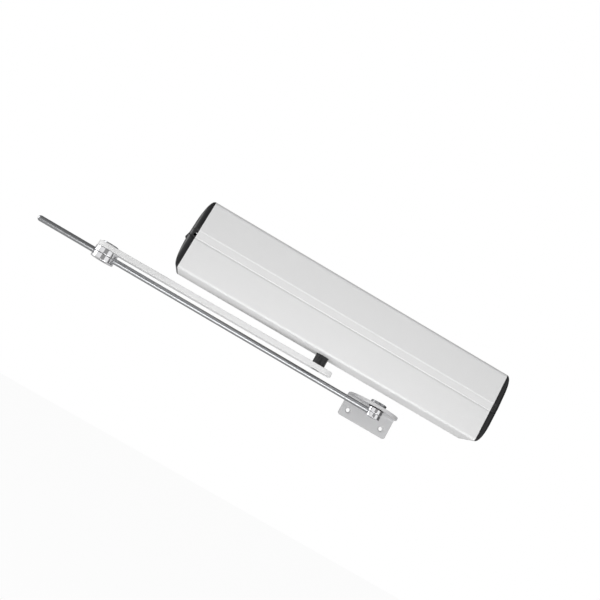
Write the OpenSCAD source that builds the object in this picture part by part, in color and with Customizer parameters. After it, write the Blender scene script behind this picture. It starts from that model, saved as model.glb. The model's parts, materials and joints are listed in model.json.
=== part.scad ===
// Swing door operator with a two-piece arm. All lengths are in mm.
// X runs along the body, the wall is the plane y = 0, the front faces -y and Z is up.
// The origin is the middle of the wall plate's back face.

// which sub-part to draw

/* [Cover] */
// length of the cover extrusion
cover_len = 495; // [488:1:620]
// height of the cover
cover_h = 110; // [106:1:120]
// depth from the wall to the front of the cover
cover_d = 76; // [76:1:90]
// wall thickness of the cover
cover_wall = 2; // [1.6:0.1:2.4]
// gap between the wall and the cover's back edge
cover_back = 1; // [0.5:0.1:2]
// how far the top of the front stands back from the widest line
top_lean = 2.5; // [1:0.1:4]
// height of the widest line above the middle
crest_up = 6; // [3:0.5:12]
// depth of the shadow line below the middle
groove_down = 7; // [4:0.5:12]
// how far the shadow line stands back from the widest line
groove_in = 1.2; // [0.9:0.1:1.4]
// how far the lower face stands back from the widest line
lower_in = 0.4; // [0.2:0.1:0.6]
// rounding of the top front edge
top_round = 5; // [3:0.5:7]
// rounding of the bottom front edge
bottom_round = 4; // [1:0.5:5]
// width of the slots that the spindle passes through
slot_w = 26; // [24:1:30]
// thickness of the lips that hold the slot fillers
filler_lip = 1.5; // [1:0.1:2]

/* [End caps] */
// how far an end cap bulges out beyond the cover
cap_bulge = 11.5; // [10:0.5:16]
// rounding of an end cap's front edge seen from above
cap_round = 8; // [5:0.5:9.5]
// wall thickness of the end caps
cap_wall = 2.4; // [2:0.1:3]
// depth of the spigot inside the cover
spigot_d = 8; // [5:0.5:9]
// wall thickness of the spigot
spigot_wall = 1.8; // [1.4:0.1:2.5]
// thickness of the rim against the cover's end
rim_t = 2.5; // [2:0.1:3]
// width of the release slot on the front
release_w = 4.5; // [3:0.5:6]
// height of the release slot
release_h = 5.5; // [4:0.5:8]
// depth of the release slot, through the cap's front wall
release_d = 5.5; // [5.2:0.1:6.5]
// width of a snap hook
hook_w = 10; // [8:0.5:12]
// thickness of a snap hook
hook_t = 2.2; // [1.8:0.1:2.6]
// how far a snap hook's barb stands out
barb = 1; // [0.8:0.1:1.4]
// height of the snap hooks above and below the middle
hook_up = 30; // [26:1:34]
// distance of the snap hooks from the wall
hook_in = 40; // [32:1:44]

/* [Base plate] */
// thickness of the base plate
base_t = 3; // [2.5:0.1:4]
// distance from the base plate's end to the cover's end
base_end = 9.5; // [9.5:0.5:12]
// depth of the base plate's top and bottom flanges
flange_d = 13; // [9:1:14]
// thickness of the flanges
flange_t = 2.5; // [2:0.1:3]
// distance of the wall holes from the base plate's ends
wall_in = 18; // [17:0.5:20]
// height of the wall holes above and below the middle
wall_up = 30; // [26:1:34]
// radius of the wall holes
wall_hole_r = 3.25; // [2.25:0.25:4.25]
// distance of the cable entry from the base plate's left end
entry_in = 38; // [36:1:44]
// height of the cable entry below the middle
entry_down = 0; // [0:1:6]
// radius of the cable entry hole
entry_r = 9; // [8:0.5:10]
// thickness of the end brackets
end_t = 2; // [1.5:0.1:2.5]
// height of the end brackets
end_h = 84; // [82:1:90]
// depth of the end brackets from the wall
end_d = 62; // [56:1:66]
// width of the end brackets' feet
end_foot = 9; // [8:0.5:9]

/* [Gears] */
// module of the gear teeth
gear_mod = 1.25; // [1.2:0.01:1.3]
// number of teeth on the worm wheel
wheel_teeth = 28; // [26:1:29]
// pitch radius of the worm
worm_r = 6.5; // [6.2:0.1:6.8]
// face width of the worm wheel's teeth
wheel_face = 6; // [4:0.5:6]
// half height of the worm wheel's hub
hub_half = 7; // [6:0.5:8]
// radius of the worm wheel's hub
hub_r = 13; // [12.5:0.1:13.5]
// length of the worm's thread
worm_len = 30; // [26:1:32]
// share of the tooth pitch that a tooth fills at the pitch line
tooth_share = 0.36; // [0.3:0.01:0.37]

/* [Gearbox] */
// distance of the spindle's axis from the wall
spindle_in = 30; // [29:0.5:32]
// width of the gearbox along the body
gear_w = 52; // [52:1:58]
// half height of the gearbox
gear_half_h = 25; // [25:0.5:28]
// wall between the worm's space and the gearbox front
gear_front = 5; // [4.8:0.1:5.6]
// thickness of the lips behind the bearings
lip_t = 2; // [1.5:0.1:2.5]
// clearance round the gears inside the gearbox
gear_room = 1.2; // [1:0.1:1.5]
// radius of the output shaft
shaft_r = 8.5; // [8:0.1:9]
// outer radius of the shaft bearings
bearing_r = 17.5; // [16.5:0.1:18]
// width of the shaft bearings
bearing_w = 10; // [9:0.5:10.5]
// radius of the worm's shaft
worm_shaft_r = 3; // [2.5:0.1:3.2]
// outer radius of the worm's bearings
worm_bearing_r = 7.5; // [7:0.1:7.9]
// width of the worm's bearings
worm_bearing_w = 5; // [4:0.5:6]
// height of the gearbox feet
foot_h = 14; // [13:0.5:16]
// thickness of the gearbox feet
foot_t = 8; // [6:0.5:10]
// share of a bearing's width across its rings that one ring takes
ring_share = 0.34; // [0.3:0.01:0.36]
// share of a bearing's width across its rings that a ball's radius takes
ball_share = 0.25; // [0.22:0.01:0.26]
// number of balls in a bearing
balls = 8; // [7:1:8]
// gap between the gearbox and the black spindle
spindle_gap = 2; // [1:0.5:3]

/* [Motor] */
// outer radius of the motor
motor_r = 17.5; // [16.5:0.1:17.8]
// length of the motor can
motor_len = 90; // [80:1:94]
// wall thickness of the motor can
can_wall = 1.5; // [1.2:0.1:1.8]
// thickness of the motor flange
motor_flange_t = 5; // [4:0.5:6]
// half height of the motor flange
motor_flange_h = 23.5; // [23:0.1:24.5]
// gap between the commutator and the end bell
commutator_gap = 4; // [3:0.5:5]
// length of the windings beyond the rotor's core
winding_len = 6; // [4:0.5:7]
// radius of the windings beyond the rotor's core
winding_r = 10; // [8:0.5:11]
// wall of the magnets
magnet_wall = 3.6; // [3:0.1:3.6]
// distance of the inner motor screws from the motor's axis towards the wall
motor_screw_in = 14; // [12:0.5:14]
// distance of the outer motor screws from the motor's axis to the front
motor_screw_out = 4; // [3:0.5:4]
// radius of the rotor's iron core
rotor_r = 11.5; // [11:0.1:12]
// length of the rotor's iron core
rotor_len = 50; // [44:1:54]
// radius of the commutator
commutator_r = 7; // [6:0.5:8]
// length of the commutator
commutator_len = 9; // [8:0.5:10]
// width of a brush
brush_w = 5; // [4:0.5:6]
// length of the plastic end bell
bell_len = 12; // [11:0.5:14]
// thickness of the circuit boards
board_t = 1.6; // [1.2:0.1:2]
// radius of the encoder magnet
encoder_r = 5; // [4:0.5:6]
// thickness of the encoder magnet
encoder_t = 2.5; // [2:0.1:3]
// side of the encoder board
encoder_w = 26; // [24:1:30]
// height of the encoder board above the end bell
encoder_gap = 5; // [4:0.5:6]
// thickness of the motor bracket
cradle_t = 4; // [3:0.5:5]
// width of the motor bracket
cradle_w = 44; // [40:1:48]

/* [Spindle and arm] */
// radius of the black spindle below the gearbox
spindle_r = 10; // [10:0.1:10.5]
// distance from the cover's underside to the arm's top
arm_drop = 15; // [14:0.5:20]
// width across the square drive ends
square_w = 12; // [11:0.1:12]
// depth of the square socket in the spindle's top
socket_d = 14; // [10:0.5:16]
// thickness of the main arm
arm_t = 8; // [7:0.5:9]
// width of the main arm
arm_w = 28; // [26:1:32]
// length of the main arm from spindle to elbow
arm_len = 354; // [300:1:380]
// distance from the spindle's axis to the arm's near end
arm_end = 25; // [20:1:28]
// radius of the arm's eye at the elbow
eye_r = 17.5; // [16:0.5:18]
// angle by which the arm leans to the wall as drawn
arm_lean = 3.44; // [0:0.01:6]

/* [Elbow and rod] */
// radius of the elbow bolt's shank
elbow_r = 7.5; // [7.4:0.1:8]
// radius of the elbow bolt's head
elbow_head_r = 12.5; // [12:0.5:14]
// thickness of the elbow bolt's head
elbow_head_t = 1.8; // [1.4:0.1:2.4]
// wall thickness of the elbow bush
bush_wall = 1.5; // [1:0.1:2]
// radius of the elbow clamp discs
disc_r = 18; // [17:0.5:20]
// thickness of an elbow clamp disc
disc_t = 8.5; // [8:0.5:10]
// gap between the two clamp discs
disc_split = 0.6; // [0.4:0.1:1]
// radius of the rod
rod_r = 4.5; // [4.3:0.1:4.7]
// length of the rod from the elbow to the bracket pivot
rod_len = 470; // [430:1:480]
// length of the rod beyond the elbow
rod_tail = 106; // [90:1:120]
// angle by which the rod leans to the wall as drawn
rod_lean = 2; // [0:0.01:4]

/* [Frame bracket] */
// radius of the pivot bolt's shank
pivot_r = 7; // [6.8:0.1:7.4]
// radius of the pivot bolt's head
pivot_head_r = 13; // [12:0.5:14]
// thickness of the pivot bolt's head
pivot_head_t = 4; // [3:0.5:5]
// radius of the pivot clamp discs
pivot_disc_r = 12.5; // [12:0.5:14]
// thickness of a pivot clamp disc
pivot_disc_t = 7; // [6.5:0.5:8]
// thickness of the black washer under the bracket
washer_t = 1.5; // [1:0.1:2]
// width of the bracket's wall plate
plate_w = 85; // [80:1:96]
// height of the bracket's wall plate
plate_h = 39; // [37:1:46]
// sheet thickness of the bracket
plate_t = 5; // [4:0.5:6]
// distance from the pivot's axis to the wall plate's front
plate_off = 38; // [34:1:44]
// how far the leg's rounded front stands out beyond the pivot's axis
leg_front = 14; // [13:0.5:18]
// distance between the bracket's screw holes
bracket_dx = 60; // [54:1:64]
// height of the screw holes above the plate's lower edge
bracket_up = 12.5; // [10:0.5:14]
// radius of the bracket's screw holes
bracket_hole_r = 3.25; // [2.75:0.25:4]
// countersink radius of the bracket's screw holes
bracket_sink_r = 5.2; // [4.5:0.1:5.5]
// inner rounding of the bracket's bend
bend_r = 4; // [3:0.5:6]

/* [Control board] */
// length of the control board
board_len = 150; // [140:1:152]
// height of the control board
board_h = 78; // [76:1:84]
// height of the standoffs under the board
standoff_h = 19; // [15:1:22]
// radius of the standoffs
standoff_r = 3.5; // [3:0.1:4]
// distance of the board's holes from its edges
board_hole_in = 5; // [4.5:0.1:6]
// distance of the board's large parts from its edges
board_part_in = 13; // [12:0.5:14]
// gap between the board and the gearbox
board_gap = 34; // [34:1:36]
// length of the terminal block
terminal_len = 80; // [72:1:86]
// height of the terminal block above the board
terminal_h = 14; // [11:0.5:16]
// width of the terminal block
terminal_w = 11; // [10:0.5:13]
// number of poles on the terminal block
terminal_poles = 10; // [8:1:12]
// radius of the capacitors
capacitor_r = 8; // [6:0.5:9]
// height of the capacitors
capacitor_h = 26; // [20:1:30]
// length of a relay
relay_len = 28; // [24:1:30]
// width of a relay
relay_w = 12; // [10:0.5:14]
// height of a relay
relay_h = 20; // [16:1:24]
// length of the heatsink
sink_len = 46; // [40:1:50]
// width of the heatsink
sink_w = 22; // [18:1:24]
// height of the heatsink
sink_h = 24; // [18:1:28]
// number of fins on the heatsink
sink_fins = 6; // [4:1:7]
// thickness of a heatsink fin
fin_t = 1.6; // [1.2:0.1:2]

/* [Power supply] */
// length of the transformer's core
core_len = 44; // [40:1:46]
// height of the transformer's core
core_h = 46; // [42:1:50]
// thickness of the transformer's core
core_t = 22; // [20:1:26]
// width of the core's outer limbs
limb_w = 8; // [7:0.5:9]
// width of the core's middle limb
middle_w = 12; // [10:0.5:13]
// gap between the motor and the transformer
core_gap = 22; // [20:1:24]
// how far the coil stands out of the core
coil_out = 6; // [4:0.5:8]

/* [Rocker switch] */
// width of the rocker
rocker_w = 8; // [7:0.5:9]
// height of the rocker
rocker_h = 13.4; // [12.6:0.2:14]
// distance from the rocker's axis to its face
rocker_face = 4.6; // [4.2:0.1:4.8]
// distance from the rocker's axis to its inner side
rocker_back = 3.5; // [3:0.1:4]
// distance of the rocker's axis inside the cap's outer face
rocker_sink = 1; // [1:0.1:1.6]
// angle by which the rocker tilts each way
rocker_tilt = 15; // [10:0.5:15]
// height of the rocker's middle below the cover's middle
rocker_down = 2.5; // [1:0.5:8]
// distance of the rocker from the wall
rocker_in = 40; // [34:1:44]
// width of the switch frame round the rocker
bezel_w = 1.6; // [1.2:0.1:2]
// thickness of the switch frame
bezel_t = 1.5; // [1.2:0.1:1.8]
// how far the switch frame is let into the cap
bezel_sink = 0.4; // [0.3:0.05:0.6]
// depth of the switch body inside the cap
switch_d = 12; // [11:0.5:14]
// radius of the rocker's pins
rocker_pin_r = 1; // [0.8:0.1:1.2]

/* [Screws] */
// radius of the small screws' shanks
m3_r = 1.5; // [1.4:0.1:1.6]
// radius of the small screws' heads
m3_head_r = 2.75; // [2.6:0.05:3]
// thickness of the small screws' heads
m3_head_t = 2; // [1.6:0.1:2.4]
// radius of the medium screws' shanks
m4_r = 2; // [1.8:0.1:2.1]
// radius of the medium screws' heads
m4_head_r = 3.5; // [3.3:0.1:3.8]
// thickness of the medium screws' heads
m4_head_t = 3; // [2.4:0.1:3.4]
// radius of the large screws' shanks
m6_r = 3; // [2.8:0.1:3.1]
// radius of the large screws' heads
m6_head_r = 5; // [4.8:0.1:5.2]
// thickness of the large screws' heads
m6_head_t = 5; // [4:0.5:6]
// radius of the arm screw's shank
arm_screw_r = 3.5; // [3.2:0.1:3.8]
// radius of the arm screw's sunk head
arm_head_r = 7.5; // [7:0.1:7.6]

/* [Fits] */
// radial clearance of a shaft or pin that turns or slides
run_fit = 0.05; // [0.02:0.01:0.08]
// clearance of parts that are pushed together
push_fit = 0.1; // [0.05:0.01:0.15]
// gap between faces that pass each other
face_gap = 0.3; // [0.3:0.05:0.5]

/* [Hidden] */
$fn = 48;
over = 1;
ratio_share = 1.25;
flank_angle = 20;
cap_power = 2.4;
half_len = cover_len / 2;
top_z = cover_h / 2;
inner_top = top_z - cover_wall;
base_half = half_len - base_end;
base_front = -base_t;
spindle_y = -spindle_in;
wheel_r = gear_mod * wheel_teeth / 2;
tooth_pitch = PI * gear_mod;
tooth_up = gear_mod;
tooth_down = gear_mod * ratio_share;
worm_y = spindle_y - wheel_r - worm_r;
wheel_room_r = wheel_r + tooth_up + gear_room;
worm_room_r = worm_r + tooth_up + gear_room;
gear_half_w = gear_w / 2;
gear_face_y = worm_y - worm_room_r - gear_front;
wheel_room_z = hub_half + gear_room;
bearing_z1 = gear_half_h - lip_t;
bearing_z0 = bearing_z1 - bearing_w;
shaft_pitch_r = (shaft_r + bearing_r) / 2;
worm_pitch_r = (worm_shaft_r + worm_bearing_r) / 2;
spindle_top_z = -gear_half_h - spindle_gap;
arm_top_z = -top_z - arm_drop;
arm_bot_z = arm_top_z - arm_t;
rod_z = arm_bot_z - face_gap - disc_t - disc_split / 2;
leg_bot_z = rod_z + disc_split / 2 + pivot_disc_t + washer_t + face_gap;
leg_top_z = leg_bot_z + plate_t;
elbow_x = -arm_len * cos(arm_lean);
elbow_y = spindle_y + arm_len * sin(arm_lean);
pivot_x = elbow_x + rod_len * cos(rod_lean);
pivot_y = elbow_y + rod_len * sin(rod_lean);
motor_x0 = gear_half_w + motor_flange_t;
motor_x1 = motor_x0 + motor_len;
bell_x1 = motor_x1 + bell_len;
commutator_x1 = motor_x1 - commutator_gap;
commutator_x0 = commutator_x1 - commutator_len;
rotor_x1 = commutator_x0 - winding_len - base_t;
rotor_x0 = rotor_x1 - rotor_len;
board_y = base_front - standoff_h;
board_face = board_y - board_t;
board_x1 = -gear_half_w - board_gap;
board_x0 = board_x1 - board_len;
core_x0 = bell_x1 + core_gap;
core_x1 = core_x0 + core_len;
rocker_z = -rocker_down;
cap_x = half_len + cap_bulge;
seat_fit = 0.02;
foot_z = gear_half_h + foot_h / 2;
foot_x = gear_half_w - foot_h / 2;
case_x = gear_half_w - m4_head_r - face_gap;
case_y0 = base_front - foot_t - m6_head_t - m4_head_r - face_gap;
case_y1 = gear_face_y + m4_head_r + face_gap;
cradle_x1 = motor_x1 - commutator_gap;
cradle_x0 = cradle_x1 - cradle_t;
cradle_up = cradle_w / 2 - foot_h / 2;
core_mid = core_x0 + core_len / 2;
core_y0 = base_front - coil_out - cover_back;
core_y1 = core_y0 - core_t;
core_ear = m4_head_r * 2 + face_gap * 2;
end_foot_x = base_half - end_t - end_foot / 2;
entry_x = -base_half + entry_in;
wall_x = base_half - wall_in;
board_hx = board_len / 2 - board_hole_in;
board_hz = board_h / 2 - board_hole_in;
board_mid = (board_x0 + board_x1) / 2;

// a block between two corners
module block(x0, x1, y0, y1, z0, z1) {
  translate([x0, y0, z0]) cube([x1 - x0, y1 - y0, z1 - z0]);
}

// a cylinder along X
module rod_x(y, z, x0, x1, r) {
  translate([x0, y, z]) rotate([0, 90, 0]) cylinder(h = x1 - x0, r = r);
}

// a cylinder along Y
module rod_y(x, z, y0, y1, r) {
  translate([x, y0, z]) rotate([-90, 0, 0]) cylinder(h = y1 - y0, r = r);
}

// a cylinder along Z
module rod_z(x, y, z0, z1, r) {
  translate([x, y, z0]) cylinder(h = z1 - z0, r = r);
}

// a screw with a round head on z = 0 and a hexagon socket
module cap_screw(r, head_r, head_t, len) {
  difference() {
    union() {
      cylinder(h = head_t, r = head_r);
      translate([0, 0, -len]) cylinder(h = len + head_t / 2, r = r);
    }
    translate([0, 0, head_t / 2]) cylinder(h = head_t, r = r, $fn = 6);
  }
}

// a screw driven into the wall plate, its head at depth y
module screw_in(x, z, y, r, head_r, head_t, len) {
  translate([x, y, z]) rotate([90, 0, 0]) cap_screw(r, head_r, head_t, len);
}

// points on an arc
function arc(cx, cy, r, a0, a1, steps) =
  [for (i = [0:steps]) let (a = a0 + (a1 - a0) * i / steps) [cx + r * cos(a), cy + r * sin(a)]];

// the cover's outline seen from the end
function cover_side() = concat(
  [[-cover_back, -top_z], [-cover_back, top_z]],
  arc(-cover_d + top_lean + top_round, top_z - top_round, top_round, 90, 177, 8),
  [[-cover_d, crest_up], [-cover_d + groove_in, -groove_down]],
  [[-cover_d + lower_in, -groove_down - groove_in]],
  arc(-cover_d + lower_in + bottom_round, -top_z + bottom_round, bottom_round, 180, 270, 6)
);

// the outline inside a wall of the given thickness
function inner_side(wall) =
  let (r = max(top_round - wall, face_gap), front = -cover_d + groove_in + wall)
    concat(
      [[over, -top_z + wall], [over, top_z - wall]],
      arc(-cover_d + top_lean + wall + r, top_z - wall - r, r, 90, 177, 6),
      [[front, crest_up], [front, -top_z + wall]]
    );

// half of an end cap's outline seen from the front
function bulge_side(cut) = let (r = cap_bulge - cut, h = top_z - cut) [
  for (i = [0:24]) let (a = -90 + 180 * i / 24, s = sin(a)) [
    r * pow(abs(cos(a)), 2 / cap_power),
    h * sign(s) * pow(abs(s), 2 / cap_power)
  ]
];

// the solid outline of an end cap whose open side is at x = 0, made smaller by cut
module cap_form(cut) {
  intersection() {
    rotate([90, 0, 0]) linear_extrude(height = cover_d) polygon(
      concat([[-spigot_d, -top_z + cut]], bulge_side(cut), [[-spigot_d, top_z - cut]])
    );
    translate([0, 0, -top_z]) linear_extrude(height = cover_h) polygon(
      concat(
        [[cap_bulge, over], [-spigot_d, over], [-spigot_d, -cover_d + cut]],
        arc(cap_bulge - cap_round, -cover_d + cap_round + cut, cap_round - cut, -90, 0, 8)
      )
    );
    translate([-spigot_d, 0, 0]) rotate([90, 0, 90])
      linear_extrude(height = cap_bulge + spigot_d)
        polygon(cut > 0 ? inner_side(cut) : cover_side());
  }
}

// a bar along X with the outline inside a wall of the given thickness
module inner_bar(x0, x1, wall) {
  translate([x0, 0, 0]) rotate([90, 0, 90]) linear_extrude(height = x1 - x0) polygon(inner_side(wall));
}

// an end cap with its open side at x = 0
module end_cap() {
  difference() {
    union() {
      difference() {
        cap_form(0);
        intersection() {
          cap_form(cap_wall);
          block(rim_t, cap_bulge, -cover_d, over, -top_z, top_z);
        }
        block(-spigot_d - over, 0, -cover_d, over, -top_z, top_z);
      }
      inner_bar(-spigot_d, rim_t, cover_wall + push_fit);
    }
    inner_bar(-spigot_d - over, rim_t + over, cover_wall + push_fit + spigot_wall);
    // the back stays clear of the wall
    block(-spigot_d - over, cap_bulge + over, -cover_back, over * 2, -top_z, top_z);
    block(
      -over, release_w, -cover_d - over, -cover_d + release_d,
      -release_h + crest_up / 4, crest_up / 4
    );
  }
  for (s = [-1, 1])
    translate([0, -hook_in, s * hook_up]) snap_hook();
}

// a hook that reaches through the end bracket and bears on its inner face
module snap_hook() {
  reach = base_end + end_t;
  block(-reach - hook_t, cap_bulge - rim_t, -hook_w / 2, hook_w / 2, -hook_t / 2, hook_t / 2);
  block(-reach - hook_t, -reach, -hook_w / 2, hook_w / 2, 0, hook_t / 2 + barb);
}

// one sign for each corner of a rectangle
function corners(dx, dz) = [for (sx = [-1, 1], sz = [-1, 1]) [sx * dx, sz * dz]];
wall_spots = corners(wall_x, wall_up);
feet_spots = corners(foot_x, foot_z);
end_spots = corners(end_foot_x, end_h / 2 - m4_head_r * 2);
board_spots = [for (c = corners(board_hx, board_hz)) [c[0] + board_mid, c[1]]];
cradle_spots = [for (s = [-1, 1]) [cradle_x1 + foot_h / 2, s * cradle_up]];
core_spots = [for (s = [-1, 1]) [core_mid, s * (core_h / 2 + core_ear / 2)]];

module base_plate() {
  color("silver") difference() {
    union() {
      block(-base_half, base_half, base_front, 0, -inner_top, inner_top);
      for (s = [0, 1]) mirror([0, 0, s])
        block(-base_half, base_half, base_front - flange_d, 0, inner_top - flange_t, inner_top);
    }
    for (c = wall_spots) rod_y(c[0], c[1], base_front - over, over, wall_hole_r);
    for (c = feet_spots) rod_y(c[0], c[1], base_front - over, over, m6_r + push_fit);
    for (c = concat(end_spots, cradle_spots, core_spots))
      rod_y(c[0], c[1], base_front - over, over, m4_r + push_fit);
    for (c = board_spots) rod_y(c[0], c[1], base_front - over, over, m3_r + push_fit);
    rod_y(entry_x, -entry_down, base_front - over, over, entry_r);
  }
}

module spindle_slot(half_w) {
  block(-half_w, half_w, spindle_y, over, inner_top - over, top_z + over);
  rod_z(0, spindle_y, inner_top - over, top_z + over, half_w);
}

module cover() {
  color("whitesmoke") difference() {
    translate([-half_len, 0, 0]) rotate([90, 0, 90])
      linear_extrude(height = cover_len) polygon(cover_side());
    inner_bar(-half_len - over, half_len + over, cover_wall);
    for (s = [0, 1]) mirror([0, 0, s]) spindle_slot(slot_w / 2);
  }
}

// the insert that closes a slot, drawn for the top
module slot_filler() {
  lip_half = slot_w / 2 + lip_t;
  intersection() {
    spindle_slot(slot_w / 2 - push_fit);
    block(-slot_w, slot_w, -cover_d, -cover_back, inner_top, top_z);
  }
  block(
    -lip_half, lip_half, spindle_y - lip_half, base_front - flange_d - face_gap,
    inner_top - filler_lip, inner_top
  );
}

module top_filler() {
  color("whitesmoke") slot_filler();
}

module bottom_filler() {
  color("whitesmoke") difference() {
    mirror([0, 0, 1]) slot_filler();
    rod_z(0, spindle_y, -top_z - over, -inner_top + filler_lip + over, spindle_r + face_gap * 2);
  }
}

module end_cap_right() {
  color("black") translate([half_len, 0, 0]) end_cap();
}

bezel_hw = rocker_w / 2 + face_gap + bezel_w;
bezel_hh = rocker_h / 2 + face_gap + bezel_w;
bezel_x = cap_bulge - bezel_sink;

module end_cap_left() {
  color("black") mirror([1, 0, 0]) translate([half_len, 0, 0]) difference() {
    end_cap();
    translate([0, -rocker_in, rocker_z]) {
      block(bezel_x, cap_bulge + over, -bezel_hw - push_fit, bezel_hw + push_fit,
        -bezel_hh - push_fit, bezel_hh + push_fit);
      block(0, cap_bulge, -bezel_hw + face_gap * 2, bezel_hw - face_gap * 2,
        -bezel_hh + face_gap * 2, bezel_hh - face_gap * 2);
    }
  }
}

// the place of the rocker's axis on the left cap, seen as on a right one
module at_rocker() {
  mirror([1, 0, 0]) translate([cap_x - rocker_sink, -rocker_in, rocker_z]) children();
}

module switch_body() {
  seat = bezel_x - cap_bulge + rocker_sink;
  body_hw = bezel_hw - face_gap * 2 - push_fit;
  body_hh = bezel_hh - face_gap * 2 - push_fit;
  color("black") at_rocker() difference() {
    union() {
      block(seat, seat + bezel_t, -bezel_hw, bezel_hw, -bezel_hh, bezel_hh);
      block(seat - switch_d, seat + bezel_t, -body_hw, body_hw, -body_hh, body_hh);
    }
    block(
      -rocker_h / 2 - face_gap, cap_bulge, -rocker_w / 2 - face_gap, rocker_w / 2 + face_gap,
      -rocker_h / 2 - face_gap, rocker_h / 2 + face_gap
    );
    rod_y(0, 0, -bezel_hw - over, bezel_hw + over, rocker_pin_r + run_fit);
  }
}

module rocker() {
  pin_half = rocker_w / 2 + face_gap + bezel_w / 2;
  color("dimgray") at_rocker() rotate([0, -rocker_tilt, 0]) union() {
    intersection() {
      rod_y(0, 0, -rocker_w / 2, rocker_w / 2, rocker_h / 2);
      block(-rocker_back, rocker_face, -rocker_w, rocker_w, -rocker_h, rocker_h);
    }
    rod_y(0, 0, -pin_half, pin_half, rocker_pin_r);
  }
}

module end_bracket() {
  x0 = base_half - end_t;
  difference() {
    union() {
      block(x0, base_half, -end_d, base_front, -end_h / 2, end_h / 2);
      block(x0 - end_foot, base_half, base_front - end_t, base_front, -end_h / 2, end_h / 2);
    }
    for (s = [-1, 1]) translate([0, -hook_in, s * hook_up])
      block(
        x0 - over, base_half + over, -hook_w / 2 - push_fit, hook_w / 2 + push_fit,
        -hook_t / 2 - barb, hook_t / 2 + push_fit
      );
    for (c = end_spots)
      rod_y(c[0], c[1], base_front - end_t - over, over, m4_r + push_fit);
    block(
      x0 - over, base_half + over, -hook_in - hook_w, -hook_in + hook_w,
      -hook_up / 2, hook_up / 2
    );
  }
}

module end_bracket_right() {
  color("silver") end_bracket();
}

module end_bracket_left() {
  color("silver") mirror([1, 0, 0]) end_bracket();
}

module base_screws() {
  color("gray") {
    for (c = end_spots)
      screw_in(c[0], c[1], base_front - end_t, m4_r, m4_head_r, m4_head_t, end_t + base_t);
    for (c = concat(cradle_spots, core_spots))
      screw_in(c[0], c[1], base_front - cradle_t, m4_r, m4_head_r, m4_head_t, cradle_t + base_t);
  }
}

module cable_grommet() {
  color("black") difference() {
    union() {
      rod_y(entry_x, -entry_down, base_front, 0, entry_r - seat_fit);
      rod_y(entry_x, -entry_down, base_front - lip_t, base_front, entry_r + lip_t);
    }
    rod_y(entry_x, -entry_down, base_front - lip_t - over, over, entry_r - lip_t);
  }
}

// the gearbox before it is split into halves
module gear_case() {
  difference() {
    union() {
      block(-gear_half_w, gear_half_w, gear_face_y, base_front, -gear_half_h, gear_half_h);
      for (c = feet_spots) translate([c[0], 0, c[1]])
        block(
          -foot_h / 2, foot_h / 2, base_front - foot_t, base_front, -foot_h / 2, foot_h / 2
        );
    }
    rod_z(0, spindle_y, -wheel_room_z, wheel_room_z, wheel_room_r);
    rod_z(0, spindle_y, -bearing_z1, bearing_z1, bearing_r);
    rod_z(0, spindle_y, -gear_half_h - over, gear_half_h + over, shaft_pitch_r);
    rod_x(worm_y, 0, -worm_len / 2 - gear_room, worm_len / 2 + gear_room, worm_room_r);
    rod_x(worm_y, 0, -gear_half_w + lip_t, gear_half_w + over, worm_bearing_r);
    for (c = feet_spots) rod_y(c[0], c[1], base_front - foot_t - over, over, m6_r + push_fit);
    for (sx = [-1, 1], y = [case_y0, case_y1])
      rod_z(sx * case_x, y, -gear_half_h / 2 - over, gear_half_h + over, m4_r + push_fit);
    for (c = motor_screw_spots)
      rod_x(c[0], c[1], gear_half_w - foot_t, gear_half_w + over, m3_r + push_fit);
  }
}

motor_screw_spots = [
  for (s = [-1, 1], y = [worm_y + motor_screw_in, worm_y - motor_screw_out])
    [y, s * (motor_flange_h - m3_head_r - face_gap)]
];

module gearbox_upper() {
  color("gainsboro") intersection() {
    gear_case();
    block(-gear_w, gear_w, -cover_d, over, 0, cover_h);
  }
}

module gearbox_lower() {
  color("gainsboro") intersection() {
    gear_case();
    block(-gear_w, gear_w, -cover_d, over, -cover_h, 0);
  }
}

module gearbox_screws() {
  color("gray") for (sx = [-1, 1], y = [case_y0, case_y1])
    translate([sx * case_x, y, gear_half_h])
      cap_screw(m4_r, m4_head_r, m4_head_t, gear_half_h * 1.5);
}

module feet_screws() {
  color("gray") for (c = feet_spots)
    screw_in(c[0], c[1], base_front - foot_t, m6_r, m6_head_r, m6_head_t, foot_t + base_t);
}

// an outer bearing ring along Z from 0 to w
module outer_ring(r0, r1, w) {
  wall = (r1 - r0) * ring_share;
  difference() {
    cylinder(h = w, r = r1 - seat_fit);
    translate([0, 0, -over]) cylinder(h = w + over * 2, r = r1 - wall);
    translate([0, 0, w / 2]) ball_track(r0, r1);
  }
}

// an inner bearing ring along Z from 0 to w
module inner_ring(r0, r1, w) {
  wall = (r1 - r0) * ring_share;
  difference() {
    cylinder(h = w, r = r0 + wall);
    translate([0, 0, -over]) cylinder(h = w + over * 2, r = r0 + seat_fit);
    translate([0, 0, w / 2]) ball_track(r0, r1);
  }
}

module ball_track(r0, r1) {
  rotate_extrude() translate([(r0 + r1) / 2, 0]) circle(r = (r1 - r0) * ball_share + run_fit);
}

module ball_ring(r0, r1, w) {
  for (i = [0:balls - 1]) rotate([0, 0, 360 * i / balls])
    translate([(r0 + r1) / 2, 0, w / 2]) sphere(r = (r1 - r0) * ball_share);
}

// the places of the two shaft bearings
module at_shaft_bearings() {
  for (z = [-bearing_z1, bearing_z0]) translate([0, spindle_y, z]) children();
}

// the places of the two worm bearings
module at_worm_bearings() {
  for (x = [-gear_half_w + lip_t, gear_half_w - worm_bearing_w])
    translate([x, worm_y, 0]) rotate([0, 90, 0]) children();
}

module bearing_outer_rings() {
  color("lightgray") {
    at_shaft_bearings() outer_ring(shaft_r, bearing_r, bearing_w);
    at_worm_bearings() outer_ring(worm_shaft_r, worm_bearing_r, worm_bearing_w);
  }
}

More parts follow.
